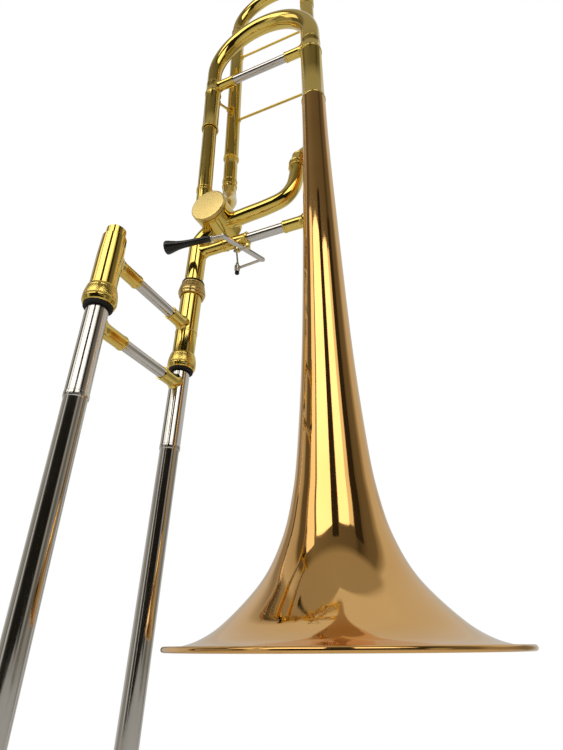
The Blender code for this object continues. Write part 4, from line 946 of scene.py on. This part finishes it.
def build_outer_slide():
    """The two outer tubes with their oversleeves, the bow that joins them and its bumper."""
    outer, inner, over = 7.8, 7.4, 8.2
    top, sleeve_top, sleeve_end, bottom = -150 * MM, BUMPER_BOTTOM - 0.3 * MM, -240 * MM, -760 * MM
    profile = [(outer * MM, top)]
    profile += outline_mm(sleeve_top, (outer, 0), (over - 0.1, 0), (over, -0.5))
    bead = over + 0.25
    profile += outline_mm(sleeve_end, (over, 4.5), (bead, 4.2), (bead, 1.0), (over, 0.4), (outer, 0))
    profile += [(outer * MM, bottom), (inner * MM, bottom), (inner * MM, top)]
    for node, place in (("left_outer_tube", LEFT), ("right_outer_tube", SLIDE)):
        lathe(f"{node}_fine", profile, place, NICKEL, "hand_slide", (node,), 96)

    wide, ferrule_bore = 8.75, 8.1
    start = bottom - 5 * MM
    arm = Vector((0, -SPACING / 2, 0))
    centre = Vector((0, -SPACING / 2, start))
    radii = (8.3, 7.6)
    marks = ((12.0, wide - 0.5, ferrule_bore), (11.6, wide, ferrule_bore), (9.6, wide, ferrule_bore),
             (9.2, wide - 0.25, ferrule_bore), (3.0, wide - 0.25, ferrule_bore), (2.6, wide, ferrule_bore),
             (0.4, wide, ferrule_bore), (0, wide - 0.4, 7.9), (-0.6, *radii))
    legs = []
    for y in (-SPACING, 0):
        legs.append([(along_slide(0, y, bottom + rise * MM), a * MM, b * MM) for rise, a, b in marks])
    arch = []
    steps = 48
    for i in range(steps + 1):
        turn = math.pi * i / steps
        point = centre + arm * math.cos(turn) - UP * (arm.length * math.sin(turn))
        arch.append((SLIDE @ point, radii[0] * MM, radii[1] * MM))
    sweep("slide_bow", legs[0] + arch + legs[1][::-1], NICKEL, "hand_slide", ("slide_crook",), 56)

    crown = start - arm.length - 8.6 * MM
    place = SLIDE @ Matrix.Translation((0, -SPACING / 2, 0))
    profile = outline_mm(crown, (0, 0), (4.6, 0), (5.2, -0.8), (6.0, -4), (6.0, -9), (5.6, -10.2), (4.6, -11),
                         (0, -11))
    lathe("slide_foot_bumper", profile, place, RUBBER, "hand_slide", ("crook_bumper",), 56, False, 0.3 * MM)
    profile = outline_mm(crown, (0, 1.5), (4.2, 1.5), (4.5, 0.8), (4.5, 0.05), (0, 0.05))
    lathe("bumper_seat", profile, place, NICKEL, "hand_slide", (), 56, False, 0.2 * MM)


# ---------------------------------------------------------------- camera, floor and light

def build_stage():
    bpy.ops.mesh.primitive_plane_add(size=6, location=(0, 0, FLOOR_Z))
    floor = bpy.context.object
    floor.name = "studio_floor"
    material, tree, shader = new_material("studio_floor_paint")
    shader.inputs["Base Color"].default_value = (0.86, 0.86, 0.86, 1)
    shader.inputs["Roughness"].default_value = 0.7
    floor.data.materials.append(material)


def build_camera():
    yaw, pitch, roll = CAMERA_YAW, CAMERA_PITCH, CAMERA_ROLL
    forward = Vector((math.sin(yaw) * math.cos(pitch), math.cos(yaw) * math.cos(pitch), math.sin(pitch)))
    level = Vector((math.cos(yaw), -math.sin(yaw), 0))
    tilted = level.cross(forward)
    right = level * math.cos(roll) + tilted * math.sin(roll)
    up = tilted * math.cos(roll) - level * math.sin(roll)
    camera_data = bpy.data.cameras.new("photo_camera")
    camera_data.lens = LENS_MM
    camera_data.sensor_width = SENSOR_MM
    camera_data.sensor_fit = "AUTO"
    camera_data.clip_start = 0.01
    camera = bpy.data.objects.new("photo_camera", camera_data)
    turn = Matrix((right, up, -forward)).transposed().to_4x4()
    camera.matrix_world = Matrix.Translation(CAMERA_PLACE) @ turn
    bpy.context.scene.collection.objects.link(camera)
    bpy.context.scene.camera = camera


WINDOW_DISTANCE = 2.1


def at_azimuth(azimuth_deg, distance, height):
    """An upright frame at this azimuth (0 is -Y, 90 is +X), whose -Z looks level at the bell's axis."""
    turn = math.radians(azimuth_deg)
    place = Vector((math.sin(turn) * distance, -math.cos(turn) * distance, height))
    inward = Vector((-place.x, -place.y, 0)).to_track_quat("-Z", "Y")
    return Matrix.Translation(place) @ inward.to_matrix().to_4x4()


def arc_width(degrees, distance):
    return 2 * distance * math.tan(math.radians(degrees) / 2)


def add_softbox(name, place, width, tall, radiance, colour=(1, 1, 1), mirrored=True):
    light = bpy.data.lights.new(name, "AREA")
    light.shape = "RECTANGLE"
    light.size = width
    light.size_y = tall
    light.energy = radiance * math.pi * width * tall
    light.color = colour
    lamp = bpy.data.objects.new(name, light)
    lamp.matrix_world = place
    lamp.visible_camera = False
    lamp.visible_glossy = mirrored
    bpy.context.scene.collection.objects.link(lamp)


def add_window(name, first_deg, last_deg, low, high, radiance, colour=(1.0, 0.97, 0.90)):
    """An upright softbox between two azimuths and two heights."""
    place = at_azimuth((first_deg + last_deg) / 2, WINDOW_DISTANCE, (low + high) / 2)
    add_softbox(name, place, arc_width(last_deg - first_deg, WINDOW_DISTANCE), high - low, radiance, colour)


def add_flag(name, first_deg, last_deg, low, high, shade=0.02):
    """A dark card that only the metal mirrors, as studios use to give polished metal its edges."""
    distance = WINDOW_DISTANCE - 0.1
    width, tall = arc_width(last_deg - first_deg, distance), high - low
    bm = bmesh.new()
    signs = ((-1, -1), (1, -1), (1, 1), (-1, 1))
    bm.faces.new([bm.verts.new((x * width / 2, y * tall / 2, 0)) for x, y in signs])
    mesh = bpy.data.meshes.new(name)
    bm.to_mesh(mesh)
    bm.free()
    material, tree, shader = new_material(f"{name}_felt")
    shader.inputs["Base Color"].default_value = (shade, shade * 0.8, shade * 0.6, 1)
    shader.inputs["Roughness"].default_value = 0.9
    mesh.materials.append(material)
    card = bpy.data.objects.new(name, mesh)
    card.matrix_world = at_azimuth((first_deg + last_deg) / 2, distance, (low + high) / 2)
    card.visible_camera = False
    card.visible_diffuse = False
    card.visible_shadow = False
    bpy.context.scene.collection.objects.link(card)


def room_band(tree, azimuth, stops):
    """One band of the mirrored room: brightness at each azimuth in degrees, -180 to 180."""
    colours = []
    for degrees, brightness in stops:
        warmth = max(0.0, 1 - brightness / 0.6)
        tint = (1.0, 1 - 0.12 * warmth, 1 - 0.04 - 0.33 * warmth)
        colours.append(((degrees + 180) / 360, tuple(brightness * part for part in tint)))
    return ramp(tree, azimuth, colours)


def blend_colours(tree, factor, first, second):
    node = tree.nodes.new("ShaderNodeMix")
    node.data_type = "RGBA"
    tree.links.new(factor, node.inputs["Factor"])
    for key, colour in (("A", first), ("B", second)):
        if isinstance(colour, tuple):
            node.inputs[key].default_value = colour
        else:
            tree.links.new(colour, node.inputs[key])
    return node.outputs["Result"]


# What the metal mirrors: (azimuth in degrees, brightness) low down, at wall height and above
LOW_BAND = (
    (-180, 0.56), (-150, 0.54), (-125, 0.50), (-105, 0.60), (-85, 0.50), (-72, 0.28), (-52, 0.32),
    (-47, 0.14), (-42, 0.16), (-38, 0.58), (-27, 0.50), (-24, 0.10), (-12, 0.015), (56, 0.012), (62, 0.05),
    (68, 0.34), (76, 0.30), (80, 0.15), (95, 0.14), (105, 0.30), (125, 0.28), (140, 0.20), (152, 0.24),
    (164, 0.52), (180, 0.56),
)
WALL_BAND = (
    (-180, 0.58), (-127, 0.58), (-119, 0.28), (-107, 0.30), (-103, 0.56), (-84, 0.46), (-77, 0.12),
    (-60, 0.12), (-45, 0.20), (0, 0.15), (60, 0.12), (70, 0.06), (90, 0.14), (106, 0.15), (116, 0.34),
    (124, 0.57), (180, 0.58),
)
CEILING_BAND = ((-180, 0.60), (-127, 0.60), (-119, 0.33), (0, 0.34), (128, 0.33), (136, 0.60), (180, 0.60))


def build_room():
    """White to the camera; to the metal, a dark warm room in front and a pale one behind."""
    world = bpy.data.worlds.new("studio")
    bpy.context.scene.world = world
    world.use_nodes = True
    tree = world.node_tree
    background = tree.nodes["Background"]
    source = tree.nodes.new("ShaderNodeTexCoord")
    split = tree.nodes.new("ShaderNodeSeparateXYZ")
    tree.links.new(source.outputs["Generated"], split.inputs["Vector"])
    turn_round = tree.nodes.new("ShaderNodeMath")
    turn_round.operation = "MULTIPLY"
    turn_round.inputs[1].default_value = -1
    tree.links.new(split.outputs["Y"], turn_round.inputs[0])
    angle = tree.nodes.new("ShaderNodeMath")
    angle.operation = "ARCTAN2"
    tree.links.new(split.outputs["X"], angle.inputs[0])
    tree.links.new(turn_round.outputs[0], angle.inputs[1])
    azimuth = remap(tree, angle.outputs[0], 0, 1, -math.pi, math.pi)
    height = split.outputs["Z"]
    low = room_band(tree, azimuth, LOW_BAND)
    wall = room_band(tree, azimuth, WALL_BAND)
    ceiling = room_band(tree, azimuth, CEILING_BAND)
    room = blend_colours(tree, remap(tree, height, 0, 1, 0.33, 0.38), low, wall)
    room = blend_colours(tree, remap(tree, height, 0, 1, 0.84, 0.89), room, ceiling)
    room = blend_colours(tree, remap(tree, height, 0, 1, -0.35, -0.60), room, (0.30, 0.27, 0.22, 1))
    path = tree.nodes.new("ShaderNodeLightPath")
    seen = blend_colours(tree, path.outputs["Is Camera Ray"], room, (1, 1, 1, 1))
    tree.links.new(seen, background.inputs["Color"])
    background.inputs["Strength"].default_value = 1.0


def build_light():
    bpy.context.scene.view_settings.view_transform = "Standard"
    build_room()
    add_window("dim_window", -57, -39, 1.05, 2.7, 1.1)
    add_window("left_window", -34, 6, 1.05, 2.65, 1.9)
    add_window("right_window", 24, 50, 1.05, 2.45, 1.9)
    add_window("right_pane", 50, 61, 1.05, 2.35, 0.9)
    add_flag("mullion", 6, 22, 0.9, 2.8)
    add_flag("curtain", 63, 80, 0.9, 2.5)
    ceiling = Matrix.Translation((0, 0, 2.8))
    add_softbox("ceiling_light", ceiling, 2.4, 2.4, 2.2, (1.0, 0.98, 0.94), mirrored=False)


# ---------------------------------------------------------------- build everything

dress_cad_nodes()
build_camera()
build_stage()
build_light()
build_bell()
build_sleeves()
build_neck_tube()
build_tuning_slide()
build_braces()
build_stays()
build_f_attachment()
build_valve()
build_stop_work()
build_lever()
build_neckpipe()
build_lock_nut()
build_inner_slide()
build_outer_slide()
